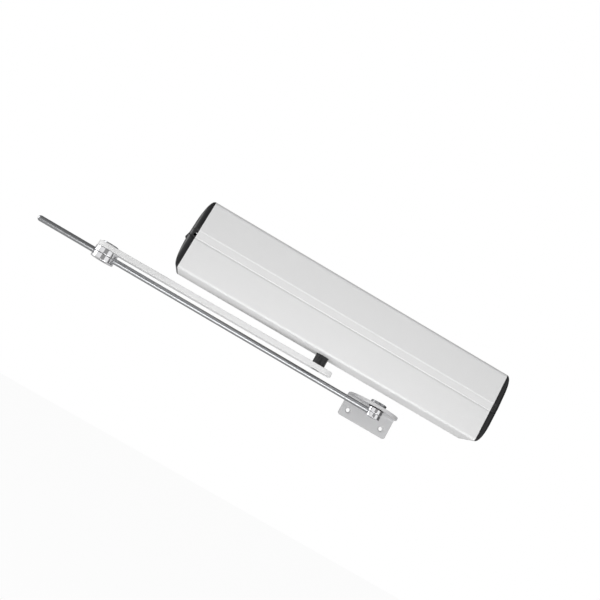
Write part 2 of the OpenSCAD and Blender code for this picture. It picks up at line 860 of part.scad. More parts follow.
module bearing_balls() {
  color("white") {
    at_shaft_bearings() ball_ring(shaft_r, bearing_r, bearing_w);
    at_worm_bearings() ball_ring(worm_shaft_r, worm_bearing_r, worm_bearing_w);
  }
}

module shaft_inner_rings() {
  color("lightgray") at_shaft_bearings() inner_ring(shaft_r, bearing_r, bearing_w);
}

module worm_inner_rings() {
  color("lightgray") at_worm_bearings() inner_ring(worm_shaft_r, worm_bearing_r, worm_bearing_w);
}

module shaft_spacers() {
  color("lightgray") for (s = [0, 1]) mirror([0, 0, s]) difference() {
    rod_z(0, spindle_y, hub_half, bearing_z0, shaft_r + lip_t);
    rod_z(0, spindle_y, hub_half - over, bearing_z0 + over, shaft_r + seat_fit);
  }
}

// a square bar along Z on the spindle's axis
module square_bar(w, z0, z1) {
  translate([0, spindle_y, 0]) rotate([0, 0, -arm_lean])
    block(-w / 2, w / 2, -w / 2, w / 2, z0, z1);
}

module output_shaft() {
  color("gray") difference() {
    union() {
      rod_z(0, spindle_y, spindle_top_z, -spindle_top_z, shaft_r);
      square_bar(square_w, spindle_top_z - socket_d + face_gap, -spindle_top_z + socket_d);
    }
    for (s = [0, 1]) mirror([0, 0, s])
      rod_z(0, spindle_y, spindle_top_z - socket_d - over, spindle_top_z + socket_d,
        arm_screw_r + push_fit);
  }
}

// half the angle that a wheel tooth fills at a height above the pitch line
function tooth_half(up) =
  (tooth_pitch * tooth_share / 2 - up * tan(flank_angle)) / (wheel_r + up) * 180 / PI;

// one corner of a wheel tooth
function tooth_corner(i, side, up) =
  let (a = 270 + 360 * i / wheel_teeth + side * tooth_half(up))
    [(wheel_r + up) * cos(a), (wheel_r + up) * sin(a)];

module worm_wheel() {
  outline = [
    for (
      i = [0:wheel_teeth - 1],
      c = [[-1, -tooth_down], [-1, tooth_up], [1, tooth_up], [1, -tooth_down]]
    ) tooth_corner(i, c[0], c[1])
  ];
  color("goldenrod") translate([0, spindle_y, 0]) difference() {
    union() {
      translate([0, 0, -wheel_face / 2]) linear_extrude(height = wheel_face) polygon(outline);
      translate([0, 0, -hub_half]) cylinder(h = hub_half * 2, r = hub_r);
    }
    translate([0, 0, -hub_half - over]) cylinder(h = (hub_half + over) * 2, r = shaft_r + seat_fit);
  }
}

// one corner of the worm's thread at a turn angle
function thread_corner(a, side, up) =
  let (half = tooth_pitch * tooth_share / 2 - up * tan(flank_angle))
    [tooth_pitch * (a / 360 + 1 / 2) + side * half, (worm_r + up) * cos(a), (worm_r + up) * sin(a)];

module worm_thread() {
  turns = floor((worm_len - tooth_pitch) / tooth_pitch) - 1;
  steps = 18;
  count = turns * steps;
  root = -tooth_down - face_gap;
  points = [
    for (i = [0:count], c = [[-1, root], [-1, tooth_up], [1, tooth_up], [1, root]])
      thread_corner(360 * i / steps - 180 * (turns + 1), c[0], c[1])
  ];
  faces = concat(
    [[2, 1, 0], [3, 2, 0]],
    [for (k = [1, 2]) [count * 4, count * 4 + k, count * 4 + k + 1]],
    [
      for (i = [0:count - 1], k = [0:3])
        let (a = i * 4 + k, b = i * 4 + (k + 1) % 4)
          for (face = [[a + 4, a, b], [b + 4, a + 4, b]]) face
    ]
  );
  polyhedron(points = points, faces = faces, convexity = 10);
}

module worm() {
  collar_r = worm_pitch_r - face_gap * 3;
  color("gray") translate([0, worm_y, 0]) union() {
    worm_thread();
    rod_x(0, 0, -worm_len / 2, worm_len / 2, worm_r - tooth_down);
    rod_x(0, 0, -gear_half_w + lip_t + worm_bearing_w, gear_half_w - worm_bearing_w, collar_r);
    rod_x(0, 0, -gear_half_w + lip_t + face_gap, bell_x1 + face_gap * 2, worm_shaft_r);
  }
}

module motor_flange() {
  color("gainsboro") difference() {
    union() {
      block(gear_half_w, motor_x0, worm_y - motor_r, worm_y + motor_r, -motor_flange_h, motor_flange_h);
      rod_x(worm_y, 0, gear_half_w, motor_x0 + lip_t, motor_r - can_wall - seat_fit);
    }
    rod_x(worm_y, 0, gear_half_w - over, motor_x0 + lip_t + over, worm_pitch_r);
    for (c = motor_screw_spots)
      rod_x(c[0], c[1], gear_half_w - over, motor_x0 + over, m3_r + push_fit);
  }
}

// a ring along X on the motor's axis
module motor_ring(x0, x1, r0, r1) {
  difference() {
    rod_x(worm_y, 0, x0, x1, r1);
    rod_x(worm_y, 0, x0 - over, x1 + over, r0);
  }
}

module motor_can() {
  color("dimgray") motor_ring(motor_x0, motor_x1, motor_r - can_wall, motor_r);
}

module motor_magnets() {
  outer = motor_r - can_wall - seat_fit;
  color("darkslategray") difference() {
    motor_ring(rotor_x0, rotor_x1, outer - magnet_wall, outer);
    block(rotor_x0 - over, rotor_x1 + over, worm_y - motor_r, worm_y + motor_r,
      -magnet_wall, magnet_wall);
  }
}

module motor_rotor() {
  slots = 8;
  color("gray") difference() {
    motor_ring(rotor_x0, rotor_x1, worm_shaft_r + seat_fit, rotor_r);
    for (i = [0:slots - 1]) translate([0, worm_y, 0]) rotate([360 * i / slots, 0, 0])
      block(rotor_x0 - over, rotor_x1 + over, -over, over, winding_r, motor_r);
  }
}

module rotor_windings() {
  color("chocolate") {
    motor_ring(rotor_x0 - winding_len, rotor_x0, worm_shaft_r + seat_fit, winding_r);
    motor_ring(rotor_x1, rotor_x1 + winding_len, worm_shaft_r + seat_fit, winding_r);
  }
}

module commutator() {
  color("peru") motor_ring(commutator_x0, commutator_x1, worm_shaft_r + seat_fit, commutator_r);
}

// a block on each side of the commutator, drawn between two heights
module brush_pair(x0, x1, half_w, z0, z1) {
  for (s = [0, 1]) mirror([0, 0, s])
    block(x0, x1, worm_y - half_w, worm_y + half_w, z0, z1);
}

module brushes() {
  color("black") brush_pair(
    commutator_x0 + face_gap, commutator_x1 - face_gap, brush_w / 2,
    commutator_r + face_gap, motor_r - can_wall - magnet_wall
  );
}

module motor_end_bell() {
  inner = motor_r - can_wall - seat_fit;
  color("black") difference() {
    union() {
      rod_x(worm_y, 0, motor_x1, bell_x1, motor_r);
      rod_x(worm_y, 0, motor_x1 - lip_t, motor_x1, inner);
      brush_pair(
        commutator_x0, motor_x1, brush_w / 2 + can_wall, commutator_r + lip_t, inner - lip_t
      );
      for (s = [-1, 1])
        rod_x(worm_y + s * (encoder_w / 2 - m4_r * 2), 0, motor_x1, bell_x1 + encoder_gap, m4_r);
    }
    rod_x(worm_y, 0, motor_x1 - lip_t - over, bell_x1 + over, worm_shaft_r + run_fit);
    brush_pair(
      commutator_x0 + face_gap, commutator_x1 - face_gap, brush_w / 2,
      commutator_r, motor_r - can_wall - magnet_wall
    );
  }
}

module encoder_board() {
  x0 = bell_x1 + encoder_gap;
  color("darkgreen") union() {
    block(
      x0, x0 + board_t, worm_y - encoder_w / 2, worm_y + encoder_w / 2, -encoder_w / 2, encoder_w / 2
    );
    block(x0 - over, x0, worm_y - lip_t, worm_y + lip_t, -lip_t, lip_t);
  }
}

module encoder_magnet() {
  x0 = bell_x1 + face_gap * 2;
  color("dimgray") rod_x(worm_y, 0, x0, x0 + encoder_t, encoder_r);
}

module motor_bracket() {
  color("silver") difference() {
    union() {
      block(cradle_x0, cradle_x1, worm_y - motor_r / 2, base_front, -cradle_w / 2, cradle_w / 2);
      block(
        cradle_x0, cradle_x1 + foot_h, base_front - cradle_t, base_front, -cradle_w / 2, cradle_w / 2
      );
    }
    rod_x(worm_y, 0, cradle_x0 - over, cradle_x1 + over, motor_r + seat_fit);
    for (c = cradle_spots)
      rod_y(c[0], c[1], base_front - cradle_t - over, over, m4_r + push_fit);
  }
}

module control_board() {
  color("darkgreen") difference() {
    block(board_x0, board_x1, board_face, board_y, -board_h / 2, board_h / 2);
    for (c = board_spots) rod_y(c[0], c[1], board_face - over, board_y + over, m3_r + push_fit);
  }
}

module standoffs() {
  color("gold") for (c = board_spots) translate([c[0], base_front, c[1]]) rotate([90, 0, 0]) {
    difference() {
      cylinder(h = standoff_h, r = standoff_r, $fn = 6);
      translate([0, 0, standoff_h / 2]) cylinder(h = standoff_h, r = m3_r + push_fit);
    }
    translate([0, 0, -base_t]) cylinder(h = base_t + over, r = m3_r);
  }
}

module small_screws() {
  color("gray") {
    for (c = board_spots)
      screw_in(c[0], c[1], board_face, m3_r, m3_head_r, m3_head_t, standoff_h / 3 + board_t);
    for (c = motor_screw_spots) translate([motor_x0, c[0], c[1]]) rotate([0, 90, 0])
      cap_screw(m3_r, m3_head_r, m3_head_t, motor_flange_t + foot_t / 2);
  }
}

terminal_x0 = board_x0 + board_part_in;
terminal_z0 = -board_h / 2 + cover_wall;
terminal_pitch = terminal_len / terminal_poles;

module terminal_block() {
  color("seagreen") difference() {
    block(
      terminal_x0, terminal_x0 + terminal_len, board_face - terminal_h, board_face,
      terminal_z0, terminal_z0 + terminal_w
    );
    for (i = [0:terminal_poles - 1]) translate([terminal_x0 + terminal_pitch * (i + 1 / 2), 0, 0]) {
      block(
        -m3_head_r + face_gap, m3_head_r - face_gap, board_face - terminal_h / 2, board_face - lip_t,
        terminal_z0 - over, terminal_z0 + terminal_w / 2
      );
      rod_y(0, terminal_z0 + terminal_w / 2, board_face - terminal_h - over,
        board_face - terminal_h / 2, m3_head_r - face_gap);
    }
  }
}

module terminal_screws() {
  slot_half = m3_r / 4;
  color("gray") for (i = [0:terminal_poles - 1])
    translate([
      terminal_x0 + terminal_pitch * (i + 1 / 2), board_face - terminal_h / 2,
      terminal_z0 + terminal_w / 2
    ]) rotate([90, 0, 0]) difference() {
      cylinder(h = m3_head_t, r = m3_r + face_gap * 2);
      block(-m3_head_r, m3_head_r, -slot_half, slot_half, m3_head_t / 2, m3_head_t + over);
    }
}

module capacitors() {
  z = board_h / 2 - board_part_in - capacitor_r;
  color("midnightblue") for (i = [0:2])
    rod_y(board_x1 - capacitor_r - base_t - i * (capacitor_r * 2 + lip_t), z,
      board_face - capacitor_h, board_face, capacitor_r);
}

module relays() {
  x1 = board_x1 - board_part_in;
  color("dimgray") for (i = [0, 1]) translate([0, 0, -lip_t - i * (relay_w + lip_t)])
    block(x1 - relay_len, x1, board_face - relay_h, board_face, -relay_w, 0);
}

module heatsink() {
  x0 = board_x0 + board_part_in;
  z0 = board_h / 2 - board_part_in - sink_w;
  color("silver") difference() {
    block(x0, x0 + sink_len, board_face - sink_h, board_face, z0, z0 + sink_w);
    for (i = [0:sink_fins - 2]) {
      pitch = (sink_len - fin_t) / (sink_fins - 1);
      block(
        x0 + i * pitch + fin_t, x0 + (i + 1) * pitch, board_face - sink_h - over,
        board_face - base_t, z0 - over, z0 + sink_w + over
      );
    }
  }
}

module transformer_core() {
  inner_z = core_h / 2 - limb_w;
  color("dimgray") difference() {
    block(core_x0, core_x1, core_y1, core_y0, -core_h / 2, core_h / 2);
    for (s = [0, 1]) translate([core_mid, 0, 0]) mirror([s, 0, 0])
      block(middle_w / 2, core_len / 2 - limb_w, core_y1 - over, core_y0 + over, -inner_z, inner_z);
  }
}

module transformer_coil() {
  half_x = core_len / 2 - limb_w - push_fit;
  half_z = core_h / 2 - limb_w - push_fit;
  color("chocolate") difference() {
    block(
      core_mid - half_x, core_mid + half_x, core_y1 - coil_out, core_y0 + coil_out, -half_z, half_z
    );
    block(
      core_mid - middle_w / 2 - seat_fit, core_mid + middle_w / 2 + seat_fit,
      core_y1 - seat_fit, core_y0 + seat_fit, -cover_h, cover_h
    );
  }
}

module transformer_feet() {
  z0 = core_h / 2 - limb_w + push_fit;
  z1 = core_h / 2 + core_ear;
  color("silver") for (s = [0, 1]) mirror([0, 0, s]) difference() {
    union() {
      block(core_x0, core_x1, core_y0, base_front, z0, core_h / 2);
      block(core_mid - foot_h / 2, core_mid + foot_h / 2, base_front - cradle_t, base_front, z0, z1);
    }
    rod_y(core_mid, core_h / 2 + core_ear / 2, base_front - cradle_t - over, over, m4_r + push_fit);
  }
}

module spindle() {
  color("black") difference() {
    union() {
      rod_z(0, spindle_y, arm_top_z, spindle_top_z, spindle_r);
      square_bar(square_w, arm_top_z - arm_t / 2, arm_top_z);
    }
    square_bar(square_w + push_fit * 2, spindle_top_z - socket_d, spindle_top_z + over);
    rod_z(0, spindle_y, arm_bot_z, spindle_top_z, arm_screw_r + push_fit);
  }
}

// the main arm's own frame, its spindle end at the origin
module at_arm() {
  translate([0, spindle_y, 0]) rotate([0, 0, -arm_lean]) children();
}

bush_r = elbow_r + run_fit + bush_wall;

module main_arm() {
  color("whitesmoke") difference() {
    at_arm() union() {
      block(-arm_len, arm_end - arm_w / 2, -arm_w / 2, arm_w / 2, arm_bot_z, arm_top_z);
      rod_z(arm_end - arm_w / 2, 0, arm_bot_z, arm_top_z, arm_w / 2);
      rod_z(-arm_len, 0, arm_bot_z, arm_top_z, eye_r);
    }
    square_bar(square_w + push_fit * 2, arm_bot_z + arm_t / 4, arm_top_z + over);
    rod_z(0, spindle_y, arm_bot_z - over, arm_bot_z + arm_t / 2, arm_head_r + push_fit);
    rod_z(elbow_x, elbow_y, arm_bot_z - over, arm_top_z + over, bush_r + seat_fit);
  }
}

module arm_screw() {
  color("gray") difference() {
    union() {
      rod_z(0, spindle_y, arm_bot_z, arm_bot_z + arm_t / 2, arm_head_r);
      rod_z(0, spindle_y, arm_bot_z, spindle_top_z - face_gap, arm_screw_r);
    }
    translate([0, spindle_y, arm_bot_z - over]) cylinder(h = over + arm_t / 4, r = arm_screw_r, $fn = 6);
  }
}

module elbow_bush() {
  color("goldenrod") difference() {
    rod_z(elbow_x, elbow_y, arm_bot_z, arm_top_z, bush_r);
    rod_z(elbow_x, elbow_y, arm_bot_z - over, arm_top_z + over, elbow_r + run_fit);
  }
}

// the rod's own frame, the elbow at the origin
module at_rod() {
  translate([elbow_x, elbow_y, 0]) rotate([0, 0, rod_lean]) children();
}

disc_top_z = rod_z + disc_split / 2 + disc_t;
disc_bot_z = rod_z - disc_split / 2 - disc_t;

module elbow_bolt() {
  z0 = arm_top_z + face_gap;
  color("dimgray") at_rod() difference() {
    union() {
      rod_z(0, 0, z0, z0 + elbow_head_t, elbow_head_r);
      rod_z(0, 0, disc_bot_z, z0, elbow_r);
    }
    rod_x(0, rod_z, -disc_r, disc_r, rod_r + run_fit);
    translate([0, 0, disc_bot_z - over]) cylinder(h = over + base_t, r = m6_r, $fn = 6);
  }
}

// a clamp disc between two heights with a bore and a groove for the rod
module clamp_disc(z0, z1, r, bore_r, groove_r) {
  difference() {
    rod_z(0, 0, z0, z1, r);
    rod_z(0, 0, z0 - over, z1 + over, bore_r + seat_fit);
    rod_x(0, rod_z, -r - over, r + over, groove_r);
  }
}

module clamp_disc_upper() {
  color("silver") at_rod()
    clamp_disc(rod_z + disc_split / 2, disc_top_z, disc_r, elbow_r, rod_r + run_fit);
}

module clamp_disc_lower() {
  color("silver") at_rod()
    clamp_disc(disc_bot_z, rod_z - disc_split / 2, disc_r, elbow_r, rod_r + run_fit);
}

module rod() {
  color("gray") at_rod() union() {
    rod_x(0, rod_z, -rod_tail, rod_len + pivot_disc_r - bend_r / 2, rod_r);
    translate([-rod_tail, 0, rod_z]) sphere(r = rod_r);
  }
}

pivot_top_z = rod_z + disc_split / 2 + pivot_disc_t;
pivot_bot_z = rod_z - disc_split / 2 - pivot_disc_t;

module pivot_bolt() {
  z0 = leg_top_z + face_gap;
  color("dimgray") at_rod() translate([rod_len, 0, 0]) difference() {
    union() {
      rod_z(0, 0, z0, z0 + pivot_head_t, pivot_head_r);
      rod_z(0, 0, pivot_bot_z, z0, pivot_r);
    }
    rod_x(0, rod_z, -disc_r, disc_r, rod_r + seat_fit);
    translate([0, 0, pivot_bot_z - over]) cylinder(h = over + lip_t, r = m6_r, $fn = 6);
  }
}

module pivot_washer() {
  color("black") at_rod() translate([rod_len, 0, 0]) difference() {
    rod_z(0, 0, pivot_top_z, pivot_top_z + washer_t, pivot_disc_r);
    rod_z(0, 0, pivot_top_z - over, pivot_top_z + washer_t + over, pivot_r + seat_fit);
  }
}

module pivot_disc_upper() {
  color("silver") at_rod() translate([rod_len, 0, 0])
    clamp_disc(rod_z + disc_split / 2, pivot_top_z, pivot_disc_r, pivot_r, rod_r + seat_fit);
}

module pivot_disc_lower() {
  color("silver") at_rod() translate([rod_len, 0, 0])
    clamp_disc(pivot_bot_z, rod_z - disc_split / 2, pivot_disc_r, pivot_r, rod_r + seat_fit);
}

module frame_bracket() {
  half = plate_w / 2;
  back = plate_off + plate_t;
  low = leg_top_z - plate_h;
  sink_d = bracket_sink_r - bracket_hole_r;
  color("lightgray") translate([pivot_x, pivot_y, 0]) difference() {
    union() {
      rod_z(0, half - leg_front, leg_bot_z, leg_top_z, half);
      block(-half, half, half - leg_front, back, leg_bot_z, leg_top_z);
      block(-half, half, plate_off, back, low + bend_r, leg_top_z);
      block(-half + bend_r, half - bend_r, plate_off, back, low, leg_top_z);
      for (s = [-1, 1]) rod_y(s * (half - bend_r), low + bend_r, plate_off, back, bend_r);
      difference() {
        block(-half, half, plate_off - bend_r, plate_off + over, leg_bot_z - bend_r, leg_bot_z + over);
        rod_x(plate_off - bend_r, leg_bot_z - bend_r, -half - over, half + over, bend_r);
      }
    }
    block(-half - over, half + over, back, back + cover_h, low - over, leg_top_z + over);
    rod_z(0, 0, leg_bot_z - over, leg_top_z + over, pivot_r + run_fit);
    for (s = [-1, 1]) {
      rod_y(s * bracket_dx / 2, low + bracket_up, plate_off - bend_r, back + over, bracket_hole_r);
      translate([s * bracket_dx / 2, plate_off - over, low + bracket_up]) rotate([-90, 0, 0])
        cylinder(h = sink_d + over, r1 = bracket_sink_r + over, r2 = bracket_hole_r);
    }
  }
}

base_plate();
cover();
top_filler();
bottom_filler();
end_cap_left();
end_cap_right();
end_bracket_left();
end_bracket_right();
base_screws();
cable_grommet();
switch_body();
rocker();
gearbox_lower();
gearbox_upper();
gearbox_screws();
feet_screws();
bearing_outer_rings();
bearing_balls();
shaft_inner_rings();
worm_inner_rings();
shaft_spacers();
output_shaft();
worm_wheel();
worm();
motor_flange();
motor_can();
motor_magnets();
motor_rotor();
rotor_windings();
commutator();
brushes();
motor_end_bell();
encoder_board();
encoder_magnet();
motor_bracket();
control_board();
standoffs();
small_screws();
terminal_block();
terminal_screws();
capacitors();
relays();
heatsink();
transformer_core();
transformer_coil();
transformer_feet();
spindle();
main_arm();
arm_screw();
elbow_bush();
elbow_bolt();
clamp_disc_upper();
clamp_disc_lower();
rod();
pivot_bolt();
pivot_washer();
pivot_disc_upper();
pivot_disc_lower();
frame_bracket();
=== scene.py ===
"""Swing door operator: light grey extruded cover, black end caps and a two-piece arm."""

import json
import math
import bmesh
import bpy
from mathutils import Matrix, Vector


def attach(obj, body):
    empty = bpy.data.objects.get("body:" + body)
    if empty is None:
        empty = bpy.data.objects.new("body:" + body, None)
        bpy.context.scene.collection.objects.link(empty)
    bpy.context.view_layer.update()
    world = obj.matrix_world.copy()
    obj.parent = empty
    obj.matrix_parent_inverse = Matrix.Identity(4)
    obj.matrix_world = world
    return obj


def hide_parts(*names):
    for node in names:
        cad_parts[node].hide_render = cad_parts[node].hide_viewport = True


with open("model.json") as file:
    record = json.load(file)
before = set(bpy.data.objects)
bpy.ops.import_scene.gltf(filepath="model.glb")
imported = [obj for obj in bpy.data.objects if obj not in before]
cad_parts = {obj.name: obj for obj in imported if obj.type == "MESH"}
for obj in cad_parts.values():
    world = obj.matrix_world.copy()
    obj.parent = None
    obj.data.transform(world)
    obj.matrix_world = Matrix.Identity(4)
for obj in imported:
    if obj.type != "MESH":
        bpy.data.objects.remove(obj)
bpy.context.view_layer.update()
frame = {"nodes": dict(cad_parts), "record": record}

MM = 0.001

# Sizes in mm, the same values as the solids. X runs along the body, -Y is the front, Z is up.
COVER_HALF = 247.5
TOP = 55.0
FRONT = 76.0
WALL = 2.0
BACK = 1.0
TOP_LEAN = 2.5
TOP_ROUND = 5.0
BOTTOM_ROUND = 4.0
# The top's round runs on to this angle, in degrees, where the leaning front takes over.
LEAN_FROM = 176
LOWER_IN = 0.4
INNER_FRONT = -72.8
INNER_FOLD = 6.0
INNER_ROUND = 3.0
SLOT_R = 13.0
# The front's folds, as how far each point stands back from the widest line and its height:
# the crest, the band under it, the shadow line and the lower face.
FOLDS = (
    (0.1, 8.0), (0.0, 7.4), (0.12, 6.6), (0.45, 5.7), (0.55, 5.0), (0.8, -4.4),
    (1.35, -5.2), (1.4, -5.7), (0.75, -7.4), (LOWER_IN, -8.4), (LOWER_IN, -30.0),
)

CAP_BULGE = 11.5
CAP_POWER = 2.4
CAP_ROUND = 8.0
CAP_WALL = 2.4
SPIGOT_D = 8.0
SPIGOT_WALL = 1.8
PUSH_FIT = 0.1
RELEASE_W = 4.5
RELEASE_D = 5.5
RELEASE_Z = (-4.0, 1.5)
RELEASE_ROUND = 0.6
ROCKER_Y = -40.0
ROCKER_Z = -2.5
# Half widths and half heights of the rocker's opening and of the shallow seat round it.
WINDOW = (5.3, 8.0)
SEAT = (6.0, 8.7)
SEAT_D = 0.4
WINDOW_ROUND = 0.4

SPINDLE = (0.0, -30.0)
SPINDLE_R = 10.0
SPINDLE_TOP = -27.0
SPINDLE_EDGE = 0.8
SPINDLE_BORE = 3.1
# Half a side of the squares that pass on the turn.
SQUARE = 6.0
FOOT_DEEP = 4.0
SOCKET_BOTTOM = -39.0
ARM_LEAN = math.radians(3.44)
ARM_LEN = 354.0
ARM_TOP = -70.0
ARM_BOT = -78.0
ARM_HALF = 14.0
ARM_NEAR = 25.0
ARM_EDGE = 0.9
EYE_R = 17.5
EYE_BORE = 9.04
ARM_HEAD_R = 7.6

ROD_LEAN = math.radians(2.0)
ROD_LEN = 470.0
ROD_TAIL = 106.0
ROD_BEYOND = 10.5
ROD_CHAMFER = 0.6
ROD_R = 4.5
# How much the rod's round tip is flattened.
TIP_FLAT = 0.05
ROD_Z = -87.1
SPLIT = 0.3
HEX_R = 3.0
CROSS_HALF = 30.0
ELBOW = (-ARM_LEN * math.cos(ARM_LEAN), SPINDLE[1] + ARM_LEN * math.sin(ARM_LEAN))
PIVOT = (ELBOW[0] + ROD_LEN * math.cos(ROD_LEAN), ELBOW[1] + ROD_LEN * math.sin(ROD_LEAN))

PLATE_HALF = 42.5
LEG_FRONT = 14.0
SHEET = 5.0
PLATE_OFF = 38.0
BRACKET_TOP = -73.0
BRACKET_LOW = -112.0
BEND = 4.0
OUTER_BEND = 6.0
CORNER = 4.0
BRACKET_EDGE = 0.45
PIVOT_HOLE = 7.05
SCREW_X = (-30.0, 30.0)
SCREW_Z = -99.5
SCREW_HOLE = 3.25
SINK_D = 1.95

# How far a cutter reaches beyond what it cuts.
CUT = 1.0


def linear(code):
    """sRGB hex to a linear colour."""
    parts = [int(code[i : i + 2], 16) / 255 for i in (1, 3, 5)]
    return tuple(c / 12.92 if c <= 0.04045 else ((c + 0.055) / 1.055) ** 2.4 for c in parts) + (1.0,)


def add(tree, kind, settings=(), **inputs):
    """Adds a node, sets its settings and fills or links its inputs; i0 is the first input."""
    made = tree.nodes.new(kind)
    for key, value in dict(settings).items():
        setattr(made, key, value)
    for key, value in inputs.items():
        by_place = key[0] == "i" and key[1:].isdigit()
        socket = made.inputs[int(key[1:]) if by_place else key.replace("_", " ")]
        if isinstance(value, bpy.types.NodeSocket):
            tree.links.new(value, socket)
        else:
            socket.default_value = value
    return made


# Makes one band for each unit of the texture's space.
BAND_SCALE = 0.314
BAND_WAVER = 0.3
NOISE_DETAIL = 4.0
LEAST_ROUGH = 0.02


def pattern_value(tree, place, pattern):
    """The grey of a noise, of crystal cells, or of bands along the axis that pattern names."""
    if pattern == "noise":
        return add(tree, "ShaderNodeTexNoise", Vector=place, Scale=1.0, Detail=NOISE_DETAIL).outputs[0]
    if pattern == "cells":
        cells = add(tree, "ShaderNodeTexVoronoi", Vector=place, Scale=1.0)
        return add(tree, "ShaderNodeSeparateColor", Color=cells.outputs["Color"]).outputs[0]
    bands = add(tree, "ShaderNodeTexWave", {"bands_direction": pattern}, Vector=place,
                Scale=BAND_SCALE, Distortion=BAND_WAVER)
    return bands.outputs[1]


def finish(name, colour, rough, metallic=0.0, ior=None, grain=0.5, stretch=(1, 1, 1), height=0.0,
           shade=0.04, rough_swing=0.06, pattern="noise", coat=0.0, coat_rough=0.1):
    """A material whose pattern repeats every `grain` mm and stands `height` mm proud."""
    made = bpy.data.materials.new(name)
    made.use_nodes = True
    tree = made.node_tree
    tree.nodes.clear()
    place = add(tree, "ShaderNodeTexCoord").outputs["Object"]
    scale = 1.0 / (grain * MM)
    mapped = add(tree, "ShaderNodeMapping", Vector=place, Scale=tuple(scale / s for s in stretch))
    value = pattern_value(tree, mapped.outputs[0], pattern)
    middle = linear(colour)[:3]
    tint = add(tree, "ShaderNodeMix", {"data_type": "RGBA"}, Factor=value)
    tint.inputs[6].default_value = tuple(c * (1 - shade) for c in middle) + (1.0,)
    tint.inputs[7].default_value = tuple(min(c * (1 + shade), 1.0) for c in middle) + (1.0,)
    spread = add(tree, "ShaderNodeMapRange", Value=value, To_Min=max(rough - rough_swing, LEAST_ROUGH),
                 To_Max=min(rough + rough_swing, 1.0))
    shader = add(tree, "ShaderNodeBsdfPrincipled", Base_Color=tint.outputs[2],
                 Roughness=spread.outputs[0], Metallic=metallic, Coat_Weight=coat,
                 Coat_Roughness=coat_rough)
    if ior:
        shader.inputs["IOR"].default_value = ior
    if height:
        bump = add(tree, "ShaderNodeBump", Strength=1.0, Distance=height * MM, Height=value)
        tree.links.new(bump.outputs[0], shader.inputs["Normal"])
    add(tree, "ShaderNodeOutputMaterial", Surface=shader.outputs[0])
    return made


